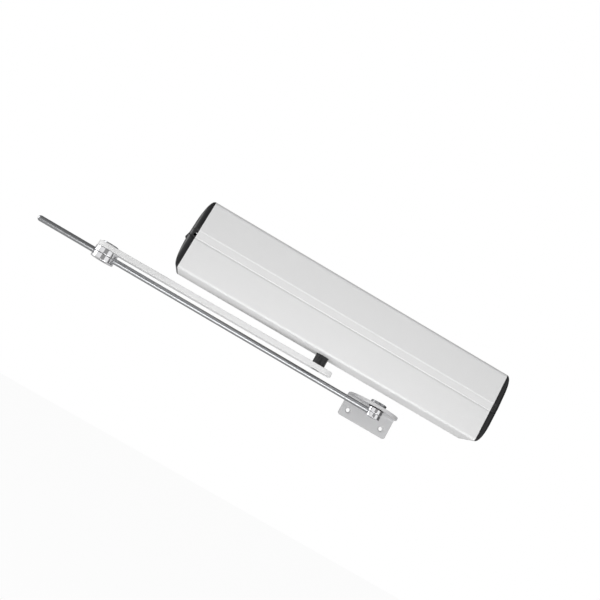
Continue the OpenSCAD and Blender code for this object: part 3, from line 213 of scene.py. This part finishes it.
# Grains that are finer than about half a millimetre on the real part, such as spark-eroded
# plastic, blasted metal and turning marks, are drawn coarser here, so that they show at all.
MATERIALS = {
    # Powder coat on extruded aluminium: even light grey with a soft sheen and a faint orange peel.
    "cover": finish("powder_coated_aluminium", "#DEDEDE", 0.4, ior=1.5, grain=1.6, height=0.006,
                    shade=0.01),
    # Moulded black ABS: a fine spark-eroded grain that breaks up the reflections.
    "cap_plastic": finish("moulded_black_abs", "#141416", 0.36, ior=1.5, grain=0.7, height=0.015,
                          shade=0.12),
    # Galvanised sheet: patches of zinc crystals that catch the light one by one.
    "plated_steel": finish("galvanised_steel_sheet", "#B9BCBE", 0.38, 1.0, grain=5.0,
                           pattern="cells", shade=0.07, rough_swing=0.1),
    # Zinc-plated turned screws: bright grey with fine turning marks.
    "screw_steel": finish("zinc_plated_screw", "#A4A7AA", 0.3, 1.0, grain=0.4, height=0.003),
    # Black moulded rubber: matt and slightly dusty.
    "grommet_rubber": finish("moulded_black_rubber", "#1C1C1D", 0.75, ior=1.52, grain=1.0,
                             height=0.02, shade=0.2),
    # Polished black switch plastic: smooth with sharp highlights.
    "switch_plastic": finish("polished_black_plastic", "#1E1E21", 0.24, ior=1.53, grain=2.0,
                             shade=0.1, rough_swing=0.03),
    # Die-cast aluminium, blasted: a matt silver with a fine speckle.
    "cast_aluminium": finish("blasted_die_cast_aluminium", "#B4B6B8", 0.55, 1.0, grain=0.9,
                             height=0.03),
    # Ground bearing steel: bright and smooth.
    "bearing_steel": finish("ground_bearing_steel", "#C6C8CA", 0.16, 1.0, grain=0.5,
                            rough_swing=0.03),
    # Turned steel: grey with rings from the lathe.
    "turned_steel": finish("turned_steel", "#A9ABAD", 0.28, 1.0, grain=0.6, pattern="Z",
                           height=0.002),
    # Machined bronze: warm yellow-brown with tool marks.
    "gear_bronze": finish("machined_bronze", "#C79A55", 0.3, 1.0, grain=0.6, height=0.003,
                          shade=0.08),
    # Enamelled rolled steel of the motor can: near black and satin.
    "motor_steel": finish("enamelled_steel_can", "#35363A", 0.35, ior=1.5, grain=2.0, height=0.01),
    # Sintered ferrite: dull black ceramic with a fine grit.
    "ferrite": finish("sintered_ferrite", "#38383B", 0.6, ior=1.6, grain=0.6, height=0.02,
                      shade=0.12),
    # Stacked core laminations: thin dark sheets edge to edge.
    "core_iron": finish("laminated_core_steel", "#55565A", 0.45, 1.0, grain=1.0, pattern="Z",
                        height=0.05, shade=0.2),
    # Enamelled copper winding: glossy orange-brown turns.
    "copper_wire": finish("enamelled_copper_winding", "#B2622F", 0.25, 0.9, grain=0.8, pattern="X",
                          height=0.15, shade=0.2),
    # Drawn copper bars of the commutator, brushed by the carbon: dull stripes.
    "copper_bar": finish("brushed_commutator_copper", "#BB7A50", 0.3, 1.0, grain=1.2, pattern="Z",
                         height=0.05, shade=0.12),
    # Pressed carbon: soft matt black.
    "carbon": finish("pressed_carbon", "#202022", 0.6, ior=1.6, grain=0.6, height=0.01, shade=0.2),
    # Moulded nylon of the end bell: dark and slightly rough.
    "motor_plastic": finish("moulded_glass_filled_nylon", "#28282B", 0.5, ior=1.53, grain=0.8,
                            height=0.02, shade=0.15),
    # Solder mask over glass laminate: green with the weave just showing.
    "board": finish("solder_masked_laminate", "#1E6B3C", 0.3, ior=1.5, grain=0.9, pattern="cells",
                    height=0.01, shade=0.1),
    # Turned brass: yellow with a clean shine.
    "standoff_brass": finish("turned_brass", "#D0B060", 0.25, 1.0, grain=0.5, shade=0.05),
    # Moulded green terminal plastic: semi-matt.
    "terminal_plastic": finish("moulded_green_polyamide", "#2F8A4C", 0.45, ior=1.53, grain=0.8,
                               height=0.02),
    # Shrunk capacitor sleeve: dark blue, tight and glossy.
    "capacitor_sleeve": finish("shrunk_pvc_sleeve", "#252F55", 0.22, ior=1.54, grain=3.0,
                               height=0.02),
    # Moulded relay case: smooth black.
    "relay_plastic": finish("moulded_relay_case", "#2C2C30", 0.3, ior=1.53, grain=1.5, shade=0.1),
    # Extruded heatsink aluminium: silver drawn along its fins.
    "heatsink_aluminium": finish("extruded_raw_aluminium", "#B0B2B4", 0.35, 1.0, grain=0.5,
                                 stretch=(1, 1, 20)),
    # Polyester tape round the coil: yellow and slightly wrinkled.
    "coil_tape": finish("wrapped_polyester_tape", "#C9A94A", 0.35, ior=1.57, grain=5.0, height=0.15,
                        stretch=(1, 1, 3)),
    # Black oxide on turned steel: nearly black with an oily shine.
    "black_steel": finish("black_oxide_steel", "#0F0F11", 0.3, ior=1.5, grain=0.8,
                          stretch=(1, 1, 6), height=0.006, shade=0.3, rough_swing=0.12,
                          coat=0.25, coat_rough=0.18),
    # Powder coat on the steel arm: even light grey like the cover.
    "arm_paint": finish("powder_coated_steel", "#DADADA", 0.5, ior=1.5, grain=1.6, height=0.0015,
                        shade=0.01, rough_swing=0.03),
    # Dark nickel plate on the bolt heads: deep grey with a soft shine.
    "bolt_steel": finish("dark_nickel_plate", "#A2A3A6", 0.24, 1.0, grain=0.5, shade=0.06),
    # Bright chrome plate: a mirror with only the faintest haze.
    "chrome_disc": finish("bright_chrome_plate", "#F3F3F5", 0.07, 1.0, grain=3.0, shade=0.01,
                          rough_swing=0.02),
    # Bright drawn steel bar: grey with fine scratches along its length.
    "rod_steel": finish("bright_drawn_steel_bar", "#A9AAAC", 0.3, 1.0, grain=0.5,
                        stretch=(30, 1, 1), height=0.004, shade=0.1, rough_swing=0.08),
    # Black nylon washer: matt.
    "washer_plastic": finish("moulded_black_nylon", "#161618", 0.5, ior=1.53, grain=0.8,
                             height=0.01),
    # Silver-grey coat on bent sheet steel: flat with a fine texture.
    "bracket_paint": finish("silver_coated_sheet_steel", "#C0C0C1", 0.42, ior=1.5, grain=1.2,
                            height=0.015, shade=0.02),
}

SLOT_OF = {row["node"]: row["material_slot"] for row in frame["record"]["subparts"]}
BODY_OF = {
    name: body for body, names in frame["record"]["behaviour"]["bodies"].items() for name in names
}

for name, solid in frame["nodes"].items():
    solid.data.materials.clear()
    solid.data.materials.append(MATERIALS[SLOT_OF[name]])

# Points closer than these, in mm, are one point: while a shape is made, and before it is rounded.
SAME_POINT = 0.0005
WELD = 0.001
# Faces within this angle are one flat face.
FLAT_ANGLE = math.radians(0.5)
# Edges over this angle, in degrees, are sharp ones.
SHARP = 30
CORNER_STEPS = 5


def new_object(name, mesh):
    made = bpy.data.objects.new(name, mesh)
    bpy.context.scene.collection.objects.link(made)
    return made


def shell(name, points, faces):
    """An object from points in mm, with outward faces."""
    mesh = bpy.data.meshes.new(name)
    mesh.from_pydata([[c * MM for c in p] for p in points], [], faces)
    work = bmesh.new()
    work.from_mesh(mesh)
    bmesh.ops.remove_doubles(work, verts=work.verts, dist=SAME_POINT * MM)
    bmesh.ops.recalc_face_normals(work, faces=work.faces)
    work.to_mesh(mesh)
    work.free()
    return new_object(name, mesh)


def bake(thing):
    """Applies an object's modifiers to its mesh."""
    seen = thing.evaluated_get(bpy.context.evaluated_depsgraph_get())
    mesh = bpy.data.meshes.new_from_object(seen)
    thing.modifiers.clear()
    thing.data = mesh
    return thing


def combine(thing, others, operation):
    """Cuts the other pieces out of a piece, or keeps what they share, and removes them."""
    for other in others:
        cut = thing.modifiers.new("cut", "BOOLEAN")
        cut.operation = operation
        cut.solver = "EXACT"
        cut.object = other
        bake(thing)
        bpy.data.objects.remove(other)
    return thing


def carve(thing, cutters):
    return combine(thing, cutters, "DIFFERENCE")


def ease(thing, width, segments):
    """Rounds the object's sharp edges by a width in mm."""
    work = bmesh.new()
    work.from_mesh(thing.data)
    bmesh.ops.remove_doubles(work, verts=work.verts, dist=WELD * MM)
    bmesh.ops.dissolve_limit(work, angle_limit=FLAT_ANGLE, verts=work.verts, edges=work.edges)
    work.to_mesh(thing.data)
    work.free()
    rounding = thing.modifiers.new("ease", "BEVEL")
    rounding.width = width * MM
    rounding.segments = segments
    rounding.limit_method = "ANGLE"
    rounding.angle_limit = math.radians(SHARP)
    rounding.use_clamp_overlap = True
    return bake(thing)


def place(thing, node, smooth=SHARP):
    """Gives a piece its node's finish and body; edges over `smooth` degrees stay sharp."""
    mesh = thing.data
    mesh.materials.clear()
    mesh.materials.append(MATERIALS[SLOT_OF[node]])
    for face in mesh.polygons:
        face.use_smooth = True
        face.material_index = 0
    mesh.set_sharp_from_angle(angle=math.radians(smooth))
    even = thing.modifiers.new("even", "WEIGHTED_NORMAL")
    even.keep_sharp = True
    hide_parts(node)
    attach(thing, BODY_OF[node])
    return thing


def prism(name, outline, low, high, axis="z"):
    """A solid from a closed outline, drawn between two places along an axis."""
    turn = {
        "x": lambda a, b, c: (c, a, b),
        "y": lambda a, b, c: (a, c, b),
        "z": lambda a, b, c: (a, b, c),
    }[axis]
    count = len(outline)
    points = [turn(a, b, low) for a, b in outline] + [turn(a, b, high) for a, b in outline]
    faces = [tuple(range(count)), tuple(range(2 * count - 1, count - 1, -1))]
    faces += [(i, (i + 1) % count, count + (i + 1) % count, count + i) for i in range(count)]
    return shell(name, points, faces)


def lathe(name, outline, centre, steps=96, axis="z"):
    """A turned solid from a closed outline of (radius, height) points."""
    turn = {
        "z": lambda r, h, a: (centre[0] + r * math.cos(a), centre[1] + r * math.sin(a), h),
        "y": lambda r, h, a: (centre[0] + r * math.cos(a), h, centre[1] + r * math.sin(a)),
        "x": lambda r, h, a: (h, centre[0] + r * math.cos(a), centre[1] + r * math.sin(a)),
    }[axis]
    count = len(outline)
    points = [turn(r, h, 2 * math.pi * s / steps) for s in range(steps) for r, h in outline]
    faces = []
    for s in range(steps):
        here, there = s * count, (s + 1) % steps * count
        for i in range(count):
            j = (i + 1) % count
            if outline[i][0] == 0 and outline[j][0] == 0:
                continue
            faces.append((here + i, here + j, there + j, there + i))
    return shell(name, points, faces)


def pin(name, r, low, high, centre=(0.0, 0.0), steps=96, axis="z"):
    """A plain round pin, used as a cutter."""
    return lathe(name, [(0.0, low), (r, low), (r, high), (0.0, high)], centre, steps, axis)


def arc(cx, cy, r, start, end, steps):
    """Points on an arc, angles in degrees."""
    turns = [math.radians(start + (end - start) * i / steps) for i in range(steps + 1)]
    return [(cx + r * math.cos(a), cy + r * math.sin(a)) for a in turns]


def square(half, x=0.0, y=0.0):
    """The corners of a square round a centre."""
    return [(x - half, y - half), (x + half, y - half), (x + half, y + half), (x - half, y + half)]


def rounded_box(x0, x1, y0, y1, r):
    """A rectangle with rounded corners."""
    return (
        arc(x1 - r, y1 - r, r, 0, 90, CORNER_STEPS)
        + arc(x0 + r, y1 - r, r, 90, 180, CORNER_STEPS)
        + arc(x0 + r, y0 + r, r, 180, 270, CORNER_STEPS)
        + arc(x1 - r, y0 + r, r, 270, 360, CORNER_STEPS)
    )


def turned(thing, centre, angle):
    """Moves a piece from the origin to a centre in mm, turned about Z."""
    shift = Matrix.Translation(Vector((centre[0], centre[1], 0)) * MM)
    thing.data.transform(shift @ Matrix.Rotation(angle, 4, "Z"))
    return thing


def join(first, second):
    """One object from two, as separate closed shells of one mesh."""
    work = bmesh.new()
    work.from_mesh(first.data)
    work.from_mesh(second.data)
    bpy.data.objects.remove(second)
    work.to_mesh(first.data)
    work.free()
    return first


# The least rounding that is left where an outline is made smaller, and the shares of the inset
# by which the inner corner and the cap's end become less round.
LEAST_ROUND = 0.4
INNER_ROUND_SHARE = 0.9
CAP_ROUND_SHARE = 0.5


def cover_outline(inset=0.0):
    """The cover's front from the back of its top to the back of its underside, as (y, z)."""
    front = FRONT - inset
    top = TOP - inset
    big = max(TOP_ROUND - inset, LEAST_ROUND)
    small = max(BOTTOM_ROUND - inset, LEAST_ROUND)
    return (
        [(-BACK, top)]
        + arc(-front + TOP_LEAN + big, top - big, big, 90, LEAN_FROM, 10)
        + [(-front + back, z) for back, z in FOLDS]
        + arc(-front + LOWER_IN + small, -top + small, small, 180, 270, 5)
        + [(-BACK, -top)]
    )


def inner_outline(inset=0.0):
    """The cover's inner side, as (y, z), from the underside to the top."""
    high = TOP - WALL - inset
    front = INNER_FRONT + inset
    corner = INNER_ROUND - inset * INNER_ROUND_SHARE
    return (
        [(-BACK, -high), (front, -high), (front, INNER_FOLD)]
        + arc(-FRONT + TOP_LEAN + TOP_ROUND, TOP - TOP_ROUND, corner, LEAN_FROM, 90, 6)
        + [(-BACK, high)]
    )


def cover():
    """The extrusion with a round-ended slot in its top and in its underside."""
    body = prism("cover_extrusion", cover_outline() + inner_outline(), -COVER_HALF, COVER_HALF, "x")
    reach = 2 * WALL
    outline = arc(0, SPINDLE[1], SLOT_R, 180, 360, 24) + [(SLOT_R, reach), (-SLOT_R, reach)]
    cutters = [prism("slot", outline, z - reach, z + reach) for z in (TOP, -TOP)]
    place(carve(body, cutters), "cover", smooth=24)


cover()

CAP_LOOPS = 22
# The angle at which the cap's curve ends in a flat tip.
TIP_ANGLE = 0.02


def cap_sections(inset):
    """Loops of an end cap from its open side outwards, as lists of (x, y, z)."""
    bulge = CAP_BULGE - inset
    rounding = CAP_ROUND - inset * CAP_ROUND_SHARE
    loops = []
    for i in range(CAP_LOOPS + 1):
        t = TIP_ANGLE + (math.pi / 2 - TIP_ANGLE) * (1 - i / CAP_LOOPS)
        x = bulge * math.cos(t) ** (2 / CAP_POWER)
        share = math.sin(t) ** (2 / CAP_POWER)
        over = max(x - (bulge - rounding), 0.0)
        back = rounding - math.sqrt(max(rounding**2 - over**2, 0.0))
        loops.append([(x, min(y + back, -BACK), z * share) for y, z in cover_outline(inset)])
    return loops


def cap_skin(loops):
    """Joins loops into an open surface with a flat tip."""
    count = len(loops[0])
    points = [p for loop in loops for p in loop]
    faces = [
        (i * count + k, (i + 1) * count + k, (i + 1) * count + k + 1, i * count + k + 1)
        for i in range(len(loops) - 1)
        for k in range(count - 1)
    ]
    faces.append(tuple((len(loops) - 1) * count + k for k in range(count)))
    return points, faces


def cap_shell(name, side):
    """An outer and an inner skin, joined along the rim and the back."""
    outer, outer_faces = cap_skin(cap_sections(0.0))
    inner, inner_faces = cap_skin(cap_sections(CAP_WALL))
    base = len(outer)
    count = len(cover_outline())
    rows = base // count
    faces = outer_faces + [tuple(base + v for v in reversed(f)) for f in inner_faces]
    faces += [(k, k + 1, base + k + 1, base + k) for k in range(count - 1)]
    for k in (0, count - 1):
        faces += [
            (i * count + k, (i + 1) * count + k, base + (i + 1) * count + k, base + i * count + k)
            for i in range(rows - 1)
        ]
    tip = (rows - 1) * count
    faces.append((tip, tip + count - 1, base + tip + count - 1, base + tip))
    return shell(name, [(side * (COVER_HALF + x), y, z) for x, y, z in outer + inner], faces)


def rocker_cutter(name, halves, low, high):
    """A cutter round the rocker's middle, between two places along X."""
    outline = rounded_box(
        ROCKER_Y - halves[0], ROCKER_Y + halves[0], ROCKER_Z - halves[1], ROCKER_Z + halves[1],
        WINDOW_ROUND,
    )
    return prism(name, outline, low, high, "x")


def end_cap(name, node, side):
    """A cap with its release slot and spigot band, and on the left the rocker's window."""
    cap = cap_shell(name, side)
    half = RELEASE_W / 2
    centre = side * (COVER_HALF + half - PUSH_FIT / 2)
    outline = rounded_box(centre - half, centre + half, *RELEASE_Z, RELEASE_ROUND)
    cutters = [prism("release", outline, -FRONT - 2 * CUT, -FRONT + RELEASE_D, "y")]
    if side < 0:
        tip = -COVER_HALF - CAP_BULGE
        cutters.append(rocker_cutter("window", WINDOW, tip - 3 * CUT, tip + 9 * CUT))
        cutters.append(rocker_cutter("seat", SEAT, tip - 3 * CUT, tip + SEAT_D))
    carve(cap, cutters)
    band = prism(
        name + "_band", inner_outline(PUSH_FIT) + inner_outline(PUSH_FIT + SPIGOT_WALL)[::-1],
        side * (COVER_HALF - SPIGOT_D), side * (COVER_HALF + CUT / 2), "x",
    )
    return place(join(cap, band), node, smooth=34)


end_cap("end_cap_right_shell", "end_cap_right", 1)
end_cap("end_cap_left_shell", "end_cap_left", -1)


def main_arm():
    """A flat bar with an eye at the elbow, its edges eased before it was coated."""
    tail = arc(ARM_NEAR - ARM_HALF, 0.0, ARM_HALF, -90, 90, 28)
    start = math.degrees(math.atan2(ARM_HALF, math.sqrt(EYE_R**2 - ARM_HALF**2)))
    eye = arc(-ARM_LEN, 0.0, EYE_R, start, 360 - start, 56)
    bar = ease(prism("main_arm_bar", tail + eye, ARM_BOT, ARM_TOP), ARM_EDGE, 3)
    middle = (ARM_TOP + ARM_BOT) / 2
    carve(bar, [
        prism("square", square(SQUARE + PUSH_FIT), middle - 2 * CUT, ARM_TOP + CUT),
        pin("counterbore", ARM_HEAD_R, ARM_BOT - CUT, middle, steps=64),
        pin("eye_bore", EYE_BORE, ARM_BOT - CUT, ARM_TOP + CUT, (-ARM_LEN, 0.0)),
    ])
    return place(turned(bar, SPINDLE, -ARM_LEAN), "main_arm")


HEAD_EDGE = 0.35
# A ring of points this far inside the head's round keeps its flat top evenly shaded.
HEAD_FLAT = 1.4
FOOT_CHAMFER = 0.4


def bolt(name, node, centre, head_r, head_low, head_top, shank_r, foot, hole_r, crown):
    """A turned bolt with a low head, a cross hole for the rod and a hex socket in its foot."""
    outline = (
        [(0.0, foot), (shank_r - FOOT_CHAMFER, foot), (shank_r, foot + FOOT_CHAMFER)]
        + [(shank_r, head_low)]
        + arc(head_r - HEAD_EDGE, head_low + HEAD_EDGE, HEAD_EDGE, -90, 0, 3)
        + arc(head_r - crown, head_top - crown, crown, 0, 90, 6)
        + [(head_r - crown - HEAD_FLAT, head_top), (0.0, head_top)]
    )
    made = lathe(name, outline, (0.0, 0.0), 128)
    hexagon = arc(0.0, 0.0, HEX_R, 0, 300, 5)
    carve(made, [
        pin("cross", hole_r, -CROSS_HALF, CROSS_HALF, (0.0, ROD_Z), 64, "x"),
        prism("socket", hexagon, foot - CUT, foot + HEX_R),
    ])
    return place(turned(made, centre, ROD_LEAN), node)


def clamp_half(name, node, centre, r, low, high, edge, bore, groove):
    """A chromed disc with small rounds at its rims, a bore and the rod's groove across it."""
    outline = (
        [(bore, low)]
        + arc(r - edge, low + edge, edge, -90, 0, 4)
        + arc(r - edge, high - edge, edge, 0, 90, 4)
        + [(bore, high)]
    )
    made = lathe(name, outline, (0.0, 0.0), 128)
    carve(made, [pin("groove", groove, -r - 2 * CUT, r + 2 * CUT, (0.0, ROD_Z), 64, "x")])
    return place(turned(made, centre, ROD_LEAN), node)


def clamp_pair(node, centre, reach, **sizes):
    """The two halves over and under the rod, each reaching as far from its middle."""
    for part, low, high in (("upper", SPLIT, reach), ("lower", -reach, -SPLIT)):
        half = f"{node}_{part}"
        clamp_half(half + "_turned", half, centre, low=ROD_Z + low, high=ROD_Z + high, **sizes)


main_arm()
bolt("elbow_bolt_turned", "elbow_bolt", ELBOW, head_r=12.5, head_low=-69.7, head_top=-67.9,
     shank_r=7.5, foot=-95.9, hole_r=4.55, crown=0.7)
clamp_pair("clamp_disc", ELBOW, reach=8.8, r=18.0, edge=0.7, bore=7.52, groove=4.55)
bolt("pivot_bolt_turned", "pivot_bolt", PIVOT, head_r=13.0, head_low=-72.7, head_top=-68.7,
     shank_r=7.0, foot=-94.4, hole_r=4.52, crown=1.0)
clamp_pair("pivot_disc", PIVOT, reach=7.3, r=12.5, edge=0.5, bore=7.02, groove=4.52)


def drawn_rod():
    """The forearm: a bright bar with a rounded tip at one end and a small chamfer at the other."""
    end = ROD_LEN + ROD_BEYOND
    outline = (
        [(0.0, -ROD_TAIL - ROD_R + TIP_FLAT)]
        + arc(0.0, -ROD_TAIL, ROD_R, -80, 0, 8)
        + [(ROD_R, end - ROD_CHAMFER), (ROD_R - ROD_CHAMFER, end), (0.0, end)]
    )
    made = lathe("rod_bar", outline, (0.0, ROD_Z), 64, "x")
    return place(turned(made, ELBOW, ROD_LEAN), "rod")


drawn_rod()


def spindle():
    """A black shaft, chamfered at its ends, with a square foot, a square socket and a bore."""
    x, y = SPINDLE
    narrow = SPINDLE_R - SPINDLE_EDGE
    outline = [
        (0.0, ARM_TOP), (narrow, ARM_TOP), (SPINDLE_R, ARM_TOP + SPINDLE_EDGE),
        (SPINDLE_R, SPINDLE_TOP - SPINDLE_EDGE), (narrow, SPINDLE_TOP), (0.0, SPINDLE_TOP),
    ]
    shaft = lathe("spindle_turned", outline, SPINDLE)
    sides = rounded_box(x - SQUARE, x + SQUARE, y - SQUARE, y + SQUARE, SPINDLE_EDGE)
    foot = prism("spindle_foot", sides, ARM_TOP - FOOT_DEEP, ARM_TOP)
    low, high = ARM_BOT - 12 * CUT, SPINDLE_TOP + 7 * CUT
    for piece in (shaft, foot):
        carve(piece, [pin("spindle_bore", SPINDLE_BORE, low, high, SPINDLE, 48)])
    socket = square(SQUARE + PUSH_FIT, x, y)
    carve(shaft, [prism("spindle_socket", socket, SOCKET_BOTTOM, high)])
    return place(join(shaft, foot), "spindle")


spindle()


def frame_bracket():
    """Bent sheet steel: a leg with a half-round front, a formed bend and a drilled plate."""
    half, off, top, low = PLATE_HALF, PLATE_OFF, BRACKET_TOP, BRACKET_LOW
    back = off + SHEET
    side = (
        [(-LEG_FRONT - CUT, top), (-LEG_FRONT - CUT, top - SHEET)]
        + arc(off - BEND, top - SHEET - BEND, BEND, 90, 0, 8)
        + [(off, low - CUT), (back, low - CUT)]
        + arc(back - OUTER_BEND, top - OUTER_BEND, OUTER_BEND, 0, 90, 10)
    )
    strip = prism("frame_bracket_strip", side, -half, half, "x")
    plan = arc(0.0, half - LEG_FRONT, half, 180, 360, 64)
    plan += [(half, back + 2 * CUT), (-half, back + 2 * CUT)]
    face = (
        [(-half, top + 2 * CUT), (-half, low + CORNER)]
        + arc(-half + CORNER, low + CORNER, CORNER, 180, 270, 6)
        + arc(half - CORNER, low + CORNER, CORNER, 270, 360, 6)
        + [(half, top + 2 * CUT)]
    )
    combine(strip, [
        prism("plan", plan, low - 5 * CUT, top + 5 * CUT),
        prism("face", face, -LEG_FRONT - 5 * CUT, back + 5 * CUT, "y"),
    ], "INTERSECT")
    ease(strip, BRACKET_EDGE, 2)
    sunk = [
        (0.0, off - CUT), (SCREW_HOLE + SINK_D + CUT, off - CUT), (SCREW_HOLE, off + SINK_D),
        (SCREW_HOLE, back + 3 * CUT), (0.0, back + 3 * CUT),
    ]
    holes = [pin("pivot_bore", PIVOT_HOLE, top - 9 * CUT, top + 3 * CUT)]
    holes += [lathe("screw_hole", sunk, (x, SCREW_Z), 48, "y") for x in SCREW_X]
    carve(strip, holes)
    return place(turned(strip, PIVOT, 0.0), "frame_bracket")


frame_bracket()

# The fine edges of the solids that stay, in mm and degrees.
FINE_EDGE = 0.25
FINE_ANGLE = 35


def soften(node):
    """Rounds a solid's sharp edges a little, so that they catch the light."""
    solid = frame["nodes"][node]
    weld = solid.modifiers.new("weld", "WELD")
    weld.merge_threshold = WELD * MM
    flat = solid.modifiers.new("flat", "DECIMATE")
    flat.decimate_type = "DISSOLVE"
    flat.angle_limit = FLAT_ANGLE
    rounding = solid.modifiers.new("rounding", "BEVEL")
    rounding.width = FINE_EDGE * MM
    rounding.segments = 2
    rounding.limit_method = "ANGLE"
    rounding.angle_limit = math.radians(FINE_ANGLE)


SOFTENED = (
    "top_filler", "bottom_filler", "switch_body", "rocker", "arm_screw", "pivot_washer",
    "base_plate",
)
for name in SOFTENED:
    soften(name)

# The sky changes between these heights of a ray's direction, where straight up is 1.
SKY_LOW, SKY_HIGH = -0.5, 0.9
# The light from each height, as (place between low and high, grey), for matt surfaces.
SKY = ((0.0, 0.68), (0.4, 0.6), (1.0, 0.52))
# What polished parts mirror from each height.
MIRRORED_SKY = ((0.0, 1.0), (0.5, 1.0), (0.75, 0.55), (1.0, 0.4))
# Cards round the studio that only polished parts mirror, as (share of a turn, grey).
FLAGS = ((0.0, 0.3), (0.037, 0.3), (0.047, 0.85), (0.2, 0.75), (0.33, 0.7), (0.38, 0.35),
         (0.5, 0.5), (0.62, 0.4), (0.66, 0.12), (0.8, 0.12), (0.84, 0.9), (0.93, 0.9), (0.94, 0.3))
FLOOR_Z = -600.0
FLOOR_HALF = 3000.0
FLOOR_DEEP = 20.0
# The share of its own white that the floor shows, and what polished parts mirror of it.
FLOOR_WHITE = 0.94
FLOOR_MIRRORED = 0.55


def ramp(tree, value, stops):
    """A grey ramp through (place, grey) stops."""
    made = add(tree, "ShaderNodeValToRGB", Fac=value)
    points = made.color_ramp.elements
    points.remove(points[1])
    for spot, grey in stops:
        point = points[0] if spot == 0.0 else points.new(spot)
        point.color = (grey, grey, grey, 1.0)
    return made.outputs[0]


def larger(tree, first, second):
    return add(tree, "ShaderNodeMath", {"operation": "MAXIMUM"}, i0=first, i1=second).outputs[0]


def white_world():
    """White to the camera, carded for polished parts and a soft grey sky for the rest."""
    world = bpy.data.worlds.new("white_studio")
    bpy.context.scene.world = world
    world.use_nodes = True
    tree = world.node_tree
    tree.nodes.clear()
    rays = add(tree, "ShaderNodeLightPath").outputs
    seen = larger(tree, rays["Is Camera Ray"], rays["Is Transmission Ray"])
    seen = larger(tree, seen, rays["Is Glossy Ray"])
    way = add(tree, "ShaderNodeSeparateXYZ", Vector=add(tree, "ShaderNodeTexCoord").outputs["Generated"])
    height = add(tree, "ShaderNodeMapRange", Value=way.outputs[2], From_Min=SKY_LOW,
                 From_Max=SKY_HIGH)
    soft = add(tree, "ShaderNodeBackground", Color=ramp(tree, height.outputs[0], SKY), Strength=1.0)
    round_way = add(tree, "ShaderNodeMath", {"operation": "ARCTAN2"}, i0=way.outputs[0], i1=way.outputs[1])
    turn = add(tree, "ShaderNodeMapRange", Value=round_way.outputs[0], From_Min=-math.pi, From_Max=math.pi)
    mirrored = add(tree, "ShaderNodeMix", {"data_type": "RGBA", "blend_type": "MULTIPLY"}, Factor=1.0)
    tree.links.new(ramp(tree, turn.outputs[0], FLAGS), mirrored.inputs[6])
    tree.links.new(ramp(tree, height.outputs[0], MIRRORED_SKY), mirrored.inputs[7])
    shown = add(tree, "ShaderNodeMix", {"data_type": "RGBA"}, Factor=rays["Is Glossy Ray"])
    shown.inputs[6].default_value = linear("#FFFFFF")
    tree.links.new(mirrored.outputs[2], shown.inputs[7])
    white = add(tree, "ShaderNodeBackground", Color=shown.outputs[2], Strength=1.0)
    mix = add(tree, "ShaderNodeMixShader", i0=seen, i1=soft.outputs[0], i2=white.outputs[0])
    add(tree, "ShaderNodeOutputWorld", Surface=mix.outputs[0])


def white_floor():
    """A paper sweep that shows white and keeps the part's soft shadow."""
    floor = prism("floor", square(FLOOR_HALF), FLOOR_Z - FLOOR_DEEP, FLOOR_Z)
    paper = bpy.data.materials.new("white_paper_sweep")
    paper.use_nodes = True
    tree = paper.node_tree
    tree.nodes.clear()
    rays = add(tree, "ShaderNodeLightPath").outputs
    seen = larger(tree, rays["Is Camera Ray"], rays["Is Glossy Ray"])
    part = add(tree, "ShaderNodeMath", {"operation": "MULTIPLY"}, i0=seen, i1=FLOOR_WHITE)
    matt = add(tree, "ShaderNodeBsdfDiffuse", Color=linear("#F2F2F2"))
    level = add(tree, "ShaderNodeMapRange", Value=rays["Is Camera Ray"], To_Min=FLOOR_MIRRORED, To_Max=1.0)
    glow = add(tree, "ShaderNodeEmission", Color=linear("#FFFFFF"), Strength=level.outputs[0])
    mix = add(tree, "ShaderNodeMixShader", i0=part.outputs[0], i1=matt.outputs[0], i2=glow.outputs[0])
    add(tree, "ShaderNodeOutputMaterial", Surface=mix.outputs[0])
    floor.data.materials.append(paper)


def lamp(name, spot, aim, size, power):
    """A soft area lamp, places in mm and power in watts."""
    light = bpy.data.lights.new(name, "AREA")
    light.shape = "RECTANGLE"
    light.size, light.size_y = size[0] * MM, size[1] * MM
    light.energy = power
    made = bpy.data.objects.new(name, light)
    made.location = Vector(spot) * MM
    made.visible_camera = False
    made.rotation_euler = (Vector(aim) * MM - made.location).to_track_quat("-Z", "Y").to_euler()
    bpy.context.scene.collection.objects.link(made)


def camera(spot, yaw, pitch, roll, focal):
    """A camera at a place in mm, with its angles in radians and its focal length in mm."""
    ahead = Vector((-math.sin(yaw) * math.cos(pitch), math.cos(yaw) * math.cos(pitch), math.sin(pitch)))
    right = Vector((math.cos(yaw), math.sin(yaw), 0.0))
    up = right.cross(ahead)
    side = right * math.cos(roll) + up * math.sin(roll)
    above = up * math.cos(roll) - right * math.sin(roll)
    lens = bpy.data.cameras.new("camera")
    lens.sensor_width = 36.0
    lens.lens = focal
    lens.clip_start, lens.clip_end = 0.05, 50.0
    made = bpy.data.objects.new("camera", lens)
    turn = Matrix((side, above, -ahead)).transposed().to_4x4()
    made.matrix_world = Matrix.Translation(Vector(spot) * MM) @ turn
    bpy.context.scene.collection.objects.link(made)
    bpy.context.scene.camera = made


bpy.context.scene.view_settings.view_transform = "Standard"
white_world()
white_floor()
lamp("low_front_lamp", spot=(60, -900, -520), aim=(0, 0, -40), size=(1100, 220), power=4.3)
lamp("left_lamp", spot=(-1250, -60, 60), aim=(-250, -40, 0), size=(500, 700), power=4.5)
lamp("under_lamp", spot=(0, -420, -560), aim=(0, -40, -53), size=(900, 300), power=1.7)
# Left of and below the cover, looking up at its face, and rolled as the photograph is.
camera(spot=(-145.2, -1206.3, -190.7), yaw=-0.063, pitch=0.161, roll=0.522, focal=48.07)
